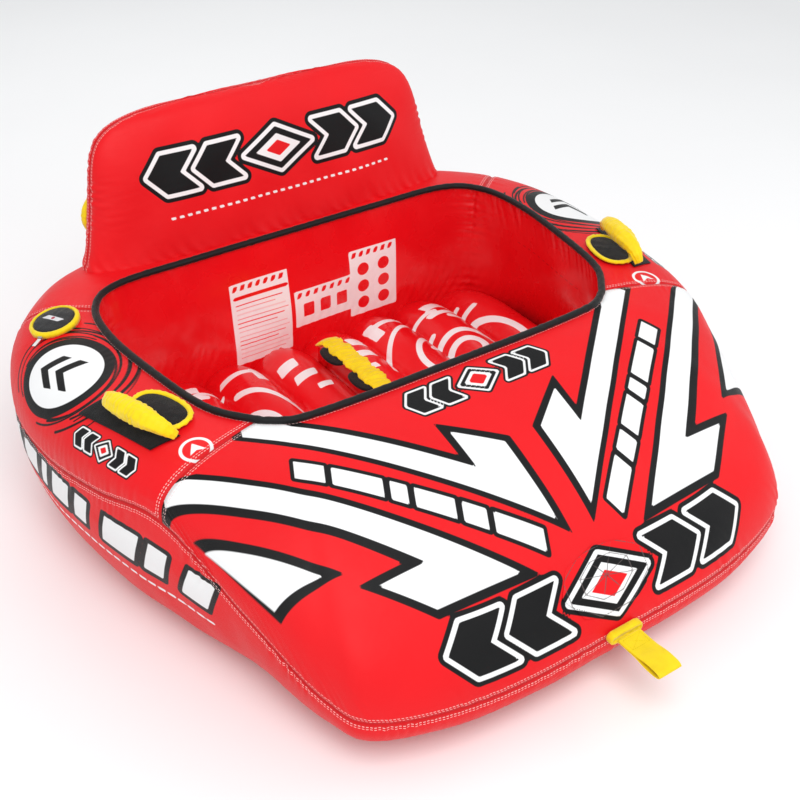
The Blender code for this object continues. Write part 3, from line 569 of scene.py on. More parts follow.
red_cover = cover_fabric("red_cover", RED, (BLACK, WHITE, BLACK, RED), (0.93, 0.62, 0.60))
vinyl_red = vinyl("red_vinyl", RED, (DARK_RED, WHITE, RED, None))
plain_vinyl = vinyl("plain_red_vinyl", RED, (None, None, None, None))
floor_red = vinyl("red_floor_vinyl", RED, (DARK_RED, WHITE, RED, None), 0.30)
under_cover = plain_fabric("under_cover", BLACK, 0.6, sheen=0.1)
binding_tape = plain_fabric("binding_tape", BLACK, 0.55, 0.0018, 0.00012, 0.15)
webbing = plain_fabric("yellow_webbing", YELLOW, 0.55, 0.0022, 0.00022, 0.25, 0.0004)
sleeve_cloth = plain_fabric("yellow_sleeve", YELLOW, 0.5, 0.0012, 0.00006, 0.3, 0.0012)
band_cloth = plain_fabric("yellow_band", YELLOW, 0.5, 0.0014, 0.0001, 0.25, 0.0006)
knit = plain_fabric("black_knit", BLACK, 0.7, 0.0012, 0.00014, 0.12, 0.0005)
zip_tape = plain_fabric("zip_tape", BLACK, 0.6, 0.0024, 0.00025, 0.1)
grey_plastic = plastic("grey_plastic", (0.30, 0.31, 0.32), 0.40)
black_plastic = plastic("black_plastic", BLACK, 0.36)
white_plastic = plastic("white_plastic", (0.75, 0.75, 0.74), 0.38)
zinc = plastic("cast_zinc", (0.55, 0.56, 0.58), 0.28, 0.9)


# ---- Sewn panels ---------------------------------------------------------------------------------------------


def sew(grid, normals, edges, seed, tuck=0.0036, pucker=0.0019, billow=0.0016):
    """Pull a panel's edges down into their seams, with puckers beside them and slow lumps over the rest.

    edges is a list of (distance, along, strength) grids, one for each sewn edge.
    """
    nearest = np.min([edge[0] for edge in edges], axis=0)
    lift = billow * (waves(seed, grid[..., 0], grid[..., 1], grid[..., 2], wavelengths=(0.30, 0.30, 0.30)) * 0.5)
    lift = lift * (1 - np.exp(-nearest / 0.05))
    lift = lift - tuck * np.exp(-((nearest / 0.0055) ** 2))
    for number, (distance, along, strength) in enumerate(edges):
        fold = waves(seed + 10 + number, along, distance, wavelengths=(0.030, 0.25))
        slow = 0.5 + 0.5 * waves(seed + 40 + number, along, wavelengths=(0.35,), terms=5)
        reach = np.exp(-distance / 0.030) * (1 - np.exp(-distance / 0.006))
        lift = lift + strength * pucker * fold * np.clip(slow, 0.1, 1.3) * reach
    stack = np.array([edge[0] for edge in edges])
    chosen = np.argmin(stack, axis=0)
    along = np.choose(chosen, [edge[1] for edge in edges])
    return grid + normals * lift[..., None], {"seam_distance": nearest, "seam_along": along}


def facing_up(centre):
    return (0.0, 0.0, 1.0)


def facing_out(centre):
    return (centre[0], centre[1] - 0.05, 0.05)


def facing_in(centre):
    return (-centre[0], 0.2 - centre[1], 0.05)


def outward_normals(grid, facing):
    normals = grid_normals(grid)
    middle = grid[len(grid) // 2, grid.shape[1] // 2]
    if normals[len(grid) // 2, grid.shape[1] // 2] @ np.array(facing(middle)) < 0:
        normals = -normals
    return normals


INNER_BAND = [
    (0.402, -0.158), (0.133, -0.401), (0.136, -0.312), (0.046, -0.377), (0.043, -0.544), (0.497, -0.134),
    (0.47, -0.06),
]
INNER_BAND_OUTLINE = [
    (0.380, -0.158), (0.150, -0.366), (0.154, -0.282), (0.029, -0.370), (0.027, -0.574), (0.517, -0.132),
    (0.49, -0.05),
]
OUTER_BAND = [
    (0.632, -0.166), (0.167, -0.590), (0.354, -0.580), (0.436, -0.511), (0.331, -0.511), (0.684, -0.174),
    (0.68, -0.14),
]
OUTER_BAND_OUTLINE = [
    (0.613, -0.167), (0.130, -0.606), (0.359, -0.593), (0.472, -0.497), (0.373, -0.497), (0.692, -0.185),
    (0.70, -0.12),
]
FLASH = [(0.659, -0.274), (0.514, -0.452), (0.603, -0.429)]
FLASH_OUTLINE = [(0.668, -0.246), (0.479, -0.471), (0.601, -0.447)]
BOW_MARK_FROM_SEAM = 0.107


def deck_print(points, from_seam):
    """The front deck's stripes, its two rows of blocks and its two marks."""
    sheet = Print(points)
    plan = np.stack((np.abs(points[:, 0]), points[:, 1]), axis=1)
    stripes = ((INNER_BAND, INNER_BAND_OUTLINE), (OUTER_BAND, OUTER_BAND_OUTLINE), (FLASH, FLASH_OUTLINE))
    for shape, outline in stripes:
        sheet.add("ink_one", polygon(plan, outline))
        sheet.add("ink_two", polygon(plan, shape))
    blocks(sheet, plan, (0.089, -0.5645), (0.457, -0.2575), 0.0395, 0.0080)
    flat = points[:, :2]
    emblem(sheet, flat - (0.004, -0.222), 0.180, 0.031, 0.0048)
    near_bow = np.stack((points[:, 0], from_seam - BOW_MARK_FROM_SEAM), axis=1)
    near_bow[:, 1] += np.where(np.abs(points[:, 0]) > 0.50, 1.0, 0.0)
    emblem(sheet, near_bow, 0.372, 0.053, 0.0095)
    return sheet


def front_print(grid):
    from_rim = arc(grid, 1)
    from_seam = from_rim[:, -1:] - from_rim
    sheet = deck_print(grid.reshape(-1, 3), from_seam.reshape(-1))
    return sheet.on_grid(grid)


def side_deck_print(grid):
    """A roundel, a small mark and a ring mark on each side deck, with loose curves round the roundel."""
    points = grid.reshape(-1, 3)
    sheet = Print(points)
    plan = np.stack((np.abs(points[:, 0]), points[:, 1], points[:, 2]), axis=1)
    slope = np.stack((plan[:, 0] + (0.47 - plan[:, 2]) * 0.55, plan[:, 1]), axis=1)
    centre = np.array((0.703, 0.290))
    sheet.add("ink_one", disc(slope, centre, 0.116))
    sheet.add("ink_two", disc(slope, centre, 0.094))
    local = slope - centre
    turned = local @ np.array(((0.86, 0.5), (-0.5, 0.86)))
    for offset in (-0.028, 0.018):
        sheet.add("ink_three", polygon(turned, [
            (-0.048, offset - 0.012), (0.0, offset + 0.026), (0.048, offset - 0.012), (0.048, offset + 0.012),
            (0.0, offset + 0.050), (-0.048, offset + 0.012),
        ]))
    for index, (radius, start, end, width) in enumerate((
        (0.126, 60, 330, 0.0026), (0.135, 20, 250, 0.0022), (0.145, 90, 300, 0.0030), (0.158, 110, 290, 0.0020),
        (0.128, -60, 150, 0.0020), (0.170, 130, 260, 0.0026), (0.182, 150, 285, 0.0018), (0.150, 30, 130, 0.0026),
        (0.164, 200, 320, 0.0030), (0.140, 150, 345, 0.0022),
    )):
        middle = centre + np.array((-0.007 * (index % 3), 0.010 * (index % 2) - 0.004))
        sheet.add("ink_one", line(slope, arc_path(middle, radius, start, end, 40, 0.92), width))
    ring = np.array((0.585, -0.112))
    sheet.add("ink_two", disc(plan[:, :2], ring, 0.033))
    inner = disc(plan[:, :2], ring, 0.0265)
    mark = polygon(plan[:, :2] - ring, [(-0.017, -0.010), (0.0, 0.019), (0.017, -0.010), (0.0, -0.003)])
    sheet.add("ink_four", np.maximum(inner, -mark))
    small = np.stack((0.026 - slope[:, 1], slope[:, 0] - 0.7405), axis=1)
    turned = small @ np.array(((0.963, 0.268), (-0.268, 0.963)))
    emblem(sheet, turned, 0.098, 0.020, 0.0036)
    return sheet.on_grid(grid)


def side_print(grid):
    """A row of blocks along each side panel with a dashed line under it."""
    points = grid.reshape(-1, 3)
    sheet = Print(points)
    run = np.stack((-points[:, 1], points[:, 2]), axis=1)
    blocks(sheet, run, (-0.52, 0.256), (-0.07, 0.258), 0.076, 0.013, (0.8, 0.6, 1.0, 0.35, 0.9, 0.6), 0.3)
    blocks(sheet, run, (-0.015, 0.258), (0.165, 0.258), 0.080, 0.013, (0.9, 0.5), 0.3)
    blocks(sheet, run, (0.215, 0.257), (0.285, 0.252), 0.080, 0.012, (1.0,), 0.3)
    for x in np.arange(-0.34, 0.27, 0.026):
        level = 0.182 - 0.02 * max(x, 0.0)
        sheet.add("ink_two", line(run, [(x, level), (x + 0.015, level)], 0.0038))
    return sheet.on_grid(grid)


panels = {}
HIDDEN_EDGE = 0.004
LOWEST_CLOTH = 0.0003


def deck_panel(name, first, last, rings, columns, seed, painter, replaced):
    """One panel of the deck, between two stations, with its print and its sewn edges."""
    grid = hull_grid("deck", first, last, rings, columns)
    normals = outward_normals(grid, facing_up)
    to_rim = arc(grid, 1)
    to_seam = to_rim[:, -1:] - to_rim
    along = arc(grid, 0)
    to_last = along[-1:] - along
    edges = [
        (to_seam, along, 1.0), (to_rim + HIDDEN_EDGE, along, 0.6), (along, to_rim, 0.8), (to_last, to_rim, 0.8),
    ]
    layers = painter(grid)
    sewn, seams = sew(grid, normals, edges, seed)
    layers.update(seams)
    obj = grid_object(name, sewn, red_cover, facing_up, layers)
    panels[name] = obj
    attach(obj, "hull")
    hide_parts(replaced)


def no_print(grid):
    """The layers of a panel with nothing printed on it."""
    return Print(grid.reshape(-1, 3)).on_grid(grid)


deck_panel("front_deck_skin", -FRONT_SEAM, FRONT_SEAM, 560, 120, 1, front_print, "front_deck_cover")
deck_panel("left_deck_skin", FRONT_SEAM, STERN_SEAM, 320, 110, 2, side_deck_print, "left_deck_cover")
deck_panel("right_deck_skin", -STERN_SEAM, -FRONT_SEAM, 320, 110, 3, side_deck_print, "right_deck_cover")
deck_panel("stern_deck_skin", STERN_SEAM, ALL_STATIONS - STERN_SEAM, 220, 48, 4, no_print, "stern_deck_cover")


def side_panel(name, first, last, seed, replaced):
    """One side of the hull, from the bow's middle to the stern's."""
    grid = hull_grid("side", first, last, 520, 80)
    normals = outward_normals(grid, facing_out)
    down = arc(grid, 1)
    along = arc(grid, 0)
    ends = np.minimum(along, along[-1:] - along) + HIDDEN_EDGE
    edges = [(down, along, 1.3), (down[:, -1:] - down, along, 1.0), (ends, down, 0.8)]
    layers = side_print(grid)
    sewn, seams = sew(grid, normals, edges, seed)
    sewn[:, :, 2] = np.maximum(sewn[:, :, 2], LOWEST_CLOTH)
    layers.update(seams)
    obj = grid_object(name, sewn, red_cover, facing_out, layers)
    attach(obj, "hull")
    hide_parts(replaced)


side_panel("left_side_skin", 0, ALL_STATIONS // 2, 5, "left_side_cover")
side_panel("right_side_skin", ALL_STATIONS // 2, ALL_STATIONS, 6, "right_side_cover")


def underside():
    """The flat bottom panel, drawn in a little under the side panels."""
    edge = hull_grid("side", 0, ALL_STATIONS, 240, 12)[:-1, -1]
    centre = np.array((*UNDERSIDE_CENTRE, 0.0))
    rows = []
    for share in np.linspace(1.0, 0.02, 26):
        ring = centre + (edge - centre) * share
        wrinkle = waves(7, ring[:, 0], ring[:, 1], wavelengths=(0.12, 0.12)) * 0.0010 * (1 - share**6)
        ring[:, 2] = 0.0012 + np.clip(wrinkle, -0.001, 0.002)
        rows.append(ring)
    obj = grid_object("underside_skin", np.array(rows), under_cover, lambda c: (0, 0, -1), closed_columns=True)
    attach(obj, "hull")
    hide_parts("bottom_cover")


underside()


# ---- The cockpit's inside ------------------------------------------------------------------------------------


def label(sheet, points, low, high, filling):
    """A pale panel with a hatched band over lines, discs or squares, in place of a printed notice."""
    (x0, z0), (x1, z1) = low, high
    sheet.add("ink_two", polygon(points, box_corners(x0, z0, x1, z1)))
    inset = 0.006
    width = x1 - x0
    height = z1 - z0
    top = z1 - inset
    count = int(width / 0.023)
    for step in range(count):
        x = x0 + inset + (width - 2 * inset) * step / count
        bar = [(x, top - 0.015), (x + 0.012, top - 0.015), (x + 0.018, top), (x + 0.006, top)]
        sheet.add("ink_three", polygon(points, bar))
    top -= 0.024
    if filling == "discs":
        for row in range(3):
            for column in range(2):
                spot = (x0 + width * (0.28 + 0.44 * column), z0 + height * (0.18 + 0.26 * row))
                sheet.add("ink_three", disc(points, spot, 0.018))
        return
    if filling == "squares":
        for share in (0.22, 0.5, 0.78):
            x = x0 + width * share
            square = box_corners(x - 0.016, z0 + height * 0.25, x + 0.016, z0 + height * 0.62)
            sheet.add("ink_three", polygon(points, square))
        return
    z = top - 0.010
    row = 0
    while z > z0 + 0.012:
        right = x1 - inset - width * (0.0, 0.08, 0.22, 0.03)[row % 4]
        thick = 0.0050 if row == 0 else 0.0016
        sheet.add("ink_three", line(points, [(x0 + 0.012, z), (right, z)], thick))
        z -= 0.0125 if row else 0.020
        row += 1


WALL_SKIRT = 0.085


def cockpit_wall():
    """The cockpit's four walls in one piece, with a straight skirt below them that the floor hides."""
    grid = hull_grid("wall", 0, ALL_STATIONS, 900, 88)
    skirt = grid[:, :1] * (1.0, 1.0, 0.0) + (0.0, 0.0, WALL_SKIRT)
    grid = np.concatenate((skirt, grid), axis=1)
    points = grid.reshape(-1, 3)
    sheet = Print(points)
    rear = np.stack((points[:, 0], points[:, 2] + np.where(points[:, 1] < 0.4, 3.0, 0.0)), axis=1)
    label(sheet, rear, (-0.186, 0.150), (-0.022, 0.380), "lines")
    label(sheet, rear, (-0.010, 0.206), (0.172, 0.310), "squares")
    label(sheet, rear, (0.160, 0.180), (0.306, 0.372), "discs")
    sides = np.stack((points[:, 1] + np.where(np.abs(points[:, 0]) < 0.5, 3.0, 0.0), points[:, 2]), axis=1)
    for y in np.arange(0.06, 0.34, 0.022):
        sheet.add("ink_one", line(sides, [(y, 0.368), (y + 0.011, 0.368)], 0.0016))
    normals = outward_normals(grid, facing_in)
    height = (points[:, 2].reshape(grid.shape[:2]) - FOOT_HEIGHT) / (RIM_HEIGHT - FOOT_HEIGHT)
    along = arc(grid, 0)
    lift = 0.0030 * waves(11, along, height, wavelengths=(0.5, 1.5)) * np.sin(math.pi * height)
    lift = lift + 0.0016 * waves(12, along, height, wavelengths=(0.045, 0.9)) * np.exp(-height / 0.16)
    lift = lift + 0.0012 * waves(13, along, height, wavelengths=(0.035, 0.9)) * np.exp(-(1 - height) / 0.10)
    for side in (-1, 1):
        crease = np.hypot(grid[..., 0] - side * 0.530, grid[..., 1] - 0.487)
        lift = lift - 0.0050 * np.exp(-((crease / 0.0075) ** 2))
        lift = lift + 0.0012 * waves(15 + side, height, wavelengths=(0.11,), terms=6) * np.exp(-crease / 0.03)
    lift = lift * np.clip(np.minimum(along, along[-1:] - along) / 0.06, 0.0, 1.0)
    grid = grid + normals * lift[..., None]
    layers = sheet.on_grid(grid)
    obj = grid_object("cockpit_wall_skin", grid, vinyl_red, facing_in, layers)
    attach(obj, "hull")
    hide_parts("hull_bladder")


cockpit_wall()

FLOOR_RIBS = 8
FLOOR_GROOVE = 0.140
FLOOR_RIB = 0.052
FLOOR_END_DROP = 0.035
FLOOR_HUB = (0.322, 0.215)
FLOOR_ARCS = [
    (0.046, 0, 360, 0.010), (0.088, -30, 140, 0.010), (0.128, 100, 215, 0.008), (0.170, -20, 70, 0.010),
    (0.205, 80, 170, 0.007),
]
FLOOR_BARS = [
    (0.06, 0.33, 0.06, 0.030), (0.08, 0.39, 0.05, 0.040), (0.05, 0.27, 0.04, 0.022), (0.42, 0.38, 0.06, 0.016),
    (0.40, 0.10, 0.08, 0.016), (0.17, 0.44, 0.11, 0.020), (0.40, 0.42, 0.05, 0.014), (0.07, 0.06, 0.05, 0.030),
    (0.16, 0.40, 0.03, 0.070), (0.33, 0.39, 0.09, 0.018), (0.34, 0.43, 0.07, 0.030), (0.22, 0.00, 0.12, 0.026),
    (0.38, 0.02, 0.06, 0.040), (0.12, 0.14, 0.04, 0.060),
]


def span(outline, x):
    """Where a fore-and-aft line at x enters and leaves an outline."""
    crossings = []
    for a, b in zip(outline, np.roll(outline, -1, axis=0)):
        if (a[0] <= x) != (b[0] <= x):
            crossings.append(a[1] + (b[1] - a[1]) * (x - a[0]) / (b[0] - a[0]))
    return min(crossings), max(crossings)


def floor_print(points):
    """Arcs and short bars, the same on both sides."""
    sheet = Print(points)
    plan = points[:, :2]
    for side in (-1, 1):
        hub = (side * FLOOR_HUB[0], FLOOR_HUB[1])
        for radius, start, end, width in FLOOR_ARCS:
            sheet.add("ink_two", line(plan, arc_path(hub, radius, start, end, 30), width))
        for x, y, w, h in FLOOR_BARS:
            corners = [(x, y), (x + w, y), (x + w * 0.9, y + h), (x - w * 0.1, y + h)]
            sheet.add("ink_two", polygon(plan, [(side * a, b) for a, b in corners]))
    return sheet


def ribbed_floor():
    """The inflated floor: round ribs fore and aft, drawn down and pleated at their ends."""
    outline = hull_grid("wall", 0, ALL_STATIONS, 193, 6)[:-1, 0, :2]
    half_width = 0.965 * outline[:, 0].max()
    steps = 22
    columns = FLOOR_RIBS * steps
    rows = []
    for column in range(columns + 1):
        x = -half_width + 2 * half_width * column / columns
        front, rear = span(outline, x)
        front -= 0.004
        rear += 0.004
        crest = math.sin(math.pi * (column % steps) / steps) ** 0.6
        t = np.linspace(0.0, 1.0, 110)
        y = front + (rear - front) * t
        end = np.abs(2 * t - 1) ** 6
        to_end = np.minimum(y - front, rear - y)
        z = FLOOR_GROOVE + crest * FLOOR_RIB - end * FLOOR_END_DROP
        pleat = waves(21, np.full_like(y, x), y, wavelengths=(0.018, 0.4)) * 0.0020 * np.exp(-to_end / 0.030)
        groove = waves(22, y, np.full_like(y, x), wavelengths=(0.028, 0.5)) * 0.0016 * (1 - crest) ** 1.5
        rows.append(np.stack((np.full_like(y, x), y, z + pleat * crest + groove), axis=1))
    grid = np.array(rows)
    sheet = floor_print(grid.reshape(-1, 3))
    layers = sheet.on_grid(grid)
    obj = grid_object("ribbed_floor_skin", grid, floor_red, facing_up, layers)
    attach(obj, "hull")
    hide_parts("floor_bladder")


ribbed_floor()


def rim_binding():
    """The black tape bound round the cockpit's edge: a tube with a fold along it."""
    centres = hull_grid("deck", 0, ALL_STATIONS, 621, 4)[:-1, 0] + (0, 0, 0.0048)
    along = np.roll(centres, -1, axis=0) - np.roll(centres, 1, axis=0)
    length = np.concatenate(([0.0], np.cumsum(np.linalg.norm(np.diff(centres, axis=0), axis=1))))
    ripple = waves(31, length, wavelengths=(0.03,))
    rings = []
    for index, (place, step) in enumerate(zip(centres, along)):
        across = np.cross(step, (0, 0, 1))
        across /= np.linalg.norm(across)
        ring = []
        for angle in full_turn(20):
            fold = 0.0006 * math.exp(-((math.sin((angle - 0.9) / 2) * 5) ** 2))
            radius = 0.0076 + 0.0004 * ripple[index] * math.sin(2 * angle) - fold
            ring.append(place + radius * (1.12 * math.cos(angle) * across + math.sin(angle) * np.array((0, 0, 1))))
        rings.append(ring)
    obj = tube("rim_binding_skin", rings, binding_tape, closed=True)
    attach(obj, "hull")
    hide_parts("cockpit_rim_binding")


rim_binding()

# ---- The backrest --------------------------------------------------------------------------------------------

BACK_BASE = 0.470
BACK_TOP = 0.804
BACK_HALF_WIDTH = 0.510
BACK_CENTRE_X = 0.015
BACK_TAPER = 0.080
BACK_HALF_THICKNESS = 0.085
BACK_FOOT_Y = 0.664
BACK_LEAN = 0.047
BACK_POWER = 2 / 3.0


def back_ring(level, angles):
    """Points round the backrest at a level, which is 0 at its foot and 1 at its top."""
    upper = max(level, 0.0)
    half_width = (BACK_HALF_WIDTH - BACK_TAPER * upper**0.7) * (1 - min(upper, 0.99999) ** 10) ** 0.2
    half_thickness = BACK_HALF_THICKNESS * (1 - 0.25 * upper) * math.sqrt(1 - min(upper, 0.99999) ** 6)
    c = np.cos(angles)
    s = np.sin(angles)
    x = BACK_CENTRE_X + half_width * np.sign(c) * np.abs(c) ** BACK_POWER
    y = BACK_FOOT_Y + BACK_LEAN * level + half_thickness * np.sign(s) * np.abs(s) ** BACK_POWER
    z = np.full_like(x, BACK_BASE + (BACK_TOP - BACK_BASE) * level)
    return np.stack((x, y, z), axis=1)


def back_panel(name, front, seed, replaced):
    """Half of the backrest's cover, from one side seam round to the other and over the top."""
    fine = np.linspace(0, math.pi, 1500)
    levels = [-0.16, -0.10, -0.05, *np.linspace(0.0, 0.985, 100), 0.990, 0.994, 0.997, 0.9985, 0.9995]
    rows = [even(back_ring(level, -fine if front else fine), 270) for level in levels]
    closing = rows[-1].copy()
    closing[:, 1] = BACK_FOOT_Y + BACK_LEAN * levels[-1]
    rows.append(closing)
    grid = np.array(rows)
    normals = grid_normals(grid)
    want = np.array((0.0, -1.0 if front else 1.0, 0.3))
    if normals[len(grid) // 2, grid.shape[1] // 2] @ want < 0:
        normals = -normals
    across = arc(grid, 1)
    up = arc(grid, 0)
    to_side = np.minimum(across, across[:, -1:] - across)
    to_top = up[-1:] - up
    edges = [(to_side, up, 1.0), (to_top, across, 1.0)]
    points = grid.reshape(-1, 3)
    sheet = Print(points)
    if front:
        flat = np.stack((points[:, 0] - 0.022, points[:, 2] - 0.665), axis=1)
        emblem(sheet, flat, 0.345, 0.045, 0.0095)
        upright = np.stack((points[:, 0], points[:, 2]), axis=1)
        for x in np.arange(-0.285, 0.345, 0.021):
            sheet.add("ink_two", polygon(upright, box_corners(x, 0.560, x + 0.012, 0.566)))
    sewn, layers = sew(grid, normals, edges, seed, 0.0036, 0.0026, 0.0036)
    foot = np.exp(-np.abs(points[:, 2].reshape(grid.shape[:2]) - 0.475) / 0.02)
    sewn = sewn + normals * (0.0016 * waves(seed + 3, across, wavelengths=(0.05,)) * foot)[..., None]
    layers.update(sheet.on_grid(grid))
    obj = grid_object(name, sewn, red_cover, lambda c: tuple(want), layers)
    panels[name] = obj
    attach(obj, "hull")
    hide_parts(*replaced)


back_panel("backrest_front_skin", True, 51, ("backrest_front_cover", "backrest_bladder"))
back_panel("backrest_rear_skin", False, 61, ("backrest_rear_cover",))

# ---- Frames on the cover -------------------------------------------------------------------------------------


def surface_tree(grid):
    """A grid as a surface that rays can be cast at."""
    rows, columns, _ = grid.shape
    return BVHTree.FromPolygons([tuple(p) for p in grid.reshape(-1, 3)], grid_faces(rows, columns))


class Place:
    """A frame on the cover: its point, its outward normal and two directions in the surface."""

    def __init__(self, tree, above, towards, along):
        hit, normal, *_ = tree.ray_cast(Vector(above), Vector(towards))
        self.tree = tree
        self.origin = hit
        self.normal = normal if normal.dot(Vector(towards)) < 0 else -normal
        self.along = (Vector(along) - Vector(along).dot(self.normal) * self.normal).normalized()
        self.across = self.normal.cross(self.along)

    def at(self, x, y, z):
        """The point at coordinates in this frame."""
        return self.origin + float(x) * self.along + float(y) * self.across + float(z) * self.normal

    def on_surface(self, x, y, z):
        """The point over x, y in this frame that is z above the cover."""
        hit = self.tree.ray_cast(self.at(x, y, 0.1), -self.normal, 0.3)[0]
        return hit + z * self.normal

    def matrix(self):
        columns = Matrix((self.along, self.across, self.normal)).transposed().to_4x4()
        return Matrix.Translation(self.origin) @ columns


deck_tree = surface_tree(hull_grid("deck", 0, ALL_STATIONS, 577, 60))
back_tree = surface_tree(np.array([
    even(back_ring(level, np.linspace(0, 2 * math.pi, 2000)), 200) for level in np.linspace(0.0, 0.985, 60)
]))

# ---- Side handles --------------------------------------------------------------------------------------------

HANDLE_ENDS = ((0.600, -0.070), (0.657, 0.112))
HANDLE_RISE = 0.052
HANDLE_LIFT = 0.011
HANDLE_TILTS = {"left": -30.0, "right": -25.0}
GRIP_LENGTH = 0.140
GUARD_CENTRE = (-0.005, 0.036)
GUARD_SIZE = (0.132, 0.078)
GUARD_ROLL = 0.0078
PATCH_CENTRE = (0.030, -0.020)
PATCH_SIZE = (0.215, 0.058)
PATCH_SLANT = -0.012
OVAL_POWER = 2 / 2.4
SLEEVE_HALF_WIDTHS = (0.009, 0.0135, 0.0175, 0.0212, 0.0228, 0.0232)
SLEEVE_HALF_HEIGHTS = (0.004, 0.0075, 0.0130, 0.0180, 0.0204, 0.0210)


def squared(values, power):
    """Cosines or sines turned into those of a circle that is squarer the smaller the power."""
    return np.sign(values) * np.abs(values) ** power


def rounded_oval(length, width, count, centre=(0.0, 0.0)):
    angles = full_turn(count)
    x = 0.5 * length * squared(np.cos(angles), OVAL_POWER)
    y = 0.5 * width * squared(np.sin(angles), OVAL_POWER)
    return np.stack((centre[0] + x, centre[1] + y), axis=1)


def pad(name, place, outline, low, top, crown, material, seed):
    """A soft flat piece lying on the cover, crowned in the middle and rolled over at its edge."""
    outline = np.array(outline)
    centre = outline.mean(axis=0)
    profile = [(1.0, low), (1.012, 0.5 * (low + top)), (1.0, top - 0.0006), (0.97, top)]
    profile += [(share, top + crown * (1 - share**2)) for share in (0.9, 0.78, 0.64, 0.5, 0.36, 0.22, 0.1)]
    rings = []
    for share, height in profile:
        ring = []
        for x, y in centre + (outline - centre) * share:
            lump = float(waves(seed, np.array(x), np.array(y), wavelengths=(0.05, 0.05))) * 0.0004 * (share < 0.97)
            ring.append(place.on_surface(x, y, height + lump))
        rings.append(ring)
    obj = tube(name, rings, material)
    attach(obj, "hull")
    return obj


def cord_round(name, place, outline, radius, height, material, seed):
    """A bulging bound edge along a closed outline."""
    centres = np.array([place.on_surface(x, y, height) for x, y in outline])
    normal = np.array(place.normal)
    along = np.roll(centres, -1, axis=0) - np.roll(centres, 1, axis=0)
    length = np.arange(len(centres)) / len(centres)
    gather = waves(seed, length, wavelengths=(0.035,))
    rings = []
    for index, (place_point, step) in enumerate(zip(centres, along)):
        across = np.cross(step, normal)
        across /= np.linalg.norm(across)
        ring = []
        for angle in full_turn(14):
            size = radius * (1 + 0.13 * gather[index] * (0.6 + 0.4 * math.cos(angle)))
            ring.append(place_point + size * (1.35 * math.cos(angle) * across + math.sin(angle) * normal))
        rings.append(ring)
    obj = tube(name, rings, material, closed=True)
    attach(obj, "hull")
    return obj


def along_half(shares, values):
    """Values given from one end to the middle, read at shares of the whole length."""
    whole = (*values, *values[-2::-1])
    return np.interp(shares, np.linspace(0, 1, len(whole)), whole)


def sleeve(name, matrix, path, material, seed, body):
    """A gathered cloth sleeve round a handle, following a path in the handle's own plane."""
    dense = smoothed(even(path, 96), 45)
    tangent = np.gradient(dense, axis=0)
    tangent /= np.linalg.norm(tangent, axis=1, keepdims=True)
    share = np.linspace(0, 1, len(dense))
    width = along_half(share, SLEEVE_HALF_WIDTHS)
    height = along_half(share, SLEEVE_HALF_HEIGHTS)
    side = np.array((0.0, 1.0, 0.0))
    rings = []
    angles = full_turn(44)
    for index, t in enumerate(share):
        up = np.cross(tangent[index], side)
        up = -up if up[2] < 0 else up
        ends = np.full_like(angles, t)
        gather = waves(seed, angles / (2 * math.pi) * 0.5, ends, wavelengths=(1 / 11, 0.6))
        rib = waves(seed + 1, ends, angles / 6.28, wavelengths=(0.075, 1.3))
        wave_size = 0.045 + 0.11 * math.exp(-min(t, 1 - t) / 0.10)
        grow = 1 + wave_size * gather + 0.032 * rib
        y = width[index] * np.cos(angles) * grow
        z = height[index] * np.sin(angles) * grow
        ring = dense[index] + side * y[:, None] + up * z[:, None]
        rings.append([matrix @ Vector(point) for point in ring])
    obj = tube(name, rings, material)
    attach(obj, body)
    return obj


def side_handle(side, name):
    """A handle with its patch, its knuckle guard with a bound edge, and its sleeve. side is -1 on the left."""
    (front_x, front_y), (rear_x, rear_y) = HANDLE_ENDS
    middle = (side * (front_x + rear_x) / 2, (front_y + rear_y) / 2, 1.0)
    along = (side * (rear_x - front_x), rear_y - front_y, 0.0)
    place = Place(deck_tree, middle, (0, 0, -1), along)
    centre = (GUARD_CENTRE[0], side * GUARD_CENTRE[1])
    oval = rounded_oval(*GUARD_SIZE, 56, centre)
    guard = pad(f"{name}_guard_skin", place, oval, 0.0058, 0.0102, 0.0035, knit, 71)
    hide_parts(f"{name}_guard")
    edge = rounded_oval(GUARD_SIZE[0] + GUARD_ROLL, GUARD_SIZE[1] + GUARD_ROLL, 90, centre)
    bound = cord_round(f"{name}_guard_edge_skin", place, edge, 0.0044, 0.0096, band_cloth, 72)
    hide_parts(f"{name}_guard_binding")
    corners = []
    for x0, y0, x1, y1 in ((-1, -1, 1, -1), (1, -1, 1, 1), (1, 1, -1, 1), (-1, 1, -1, -1)):
        for t in np.linspace(0, 1, 14, endpoint=False):
            a = x0 + (x1 - x0) * t
            b = y0 + (y1 - y0) * t
            x = PATCH_CENTRE[0] + a * 0.5 * PATCH_SIZE[0] + PATCH_SLANT * side * b
            corners.append((x, side * PATCH_CENTRE[1] + b * 0.5 * PATCH_SIZE[1]))
    patch = pad(f"{name}_patch_skin", place, corners, 0.0016, 0.0044, 0.0006, knit, 73)
    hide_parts(f"{name}_patch")
    length = math.hypot(rear_x - front_x, rear_y - front_y)
    swing = Matrix.Rotation(math.radians(HANDLE_TILTS[name.split("_")[0]]), 4, "X")
    matrix = place.matrix() @ Matrix.Translation((0, 0, HANDLE_LIFT)) @ swing
    rise = HANDLE_RISE - HANDLE_LIFT
    half = 0.5 * length
    grip = 0.5 * GRIP_LENGTH
    rising = [
        (-half + 0.001, 0, 0.004), (-half + 0.006, 0, 0.6 * rise), (-grip - 0.002, 0, 0.93 * rise),
        (-grip + 0.02, 0, rise),
    ]
    path = [*rising, (0, 0, rise), *((-x, y, z) for x, y, z in reversed(rising))]
    cover = sleeve(f"{name}_sleeve", matrix, path, sleeve_cloth, 74 + side, name)
    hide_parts(f"{name}_grip")
    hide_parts(f"{name}_webbing")


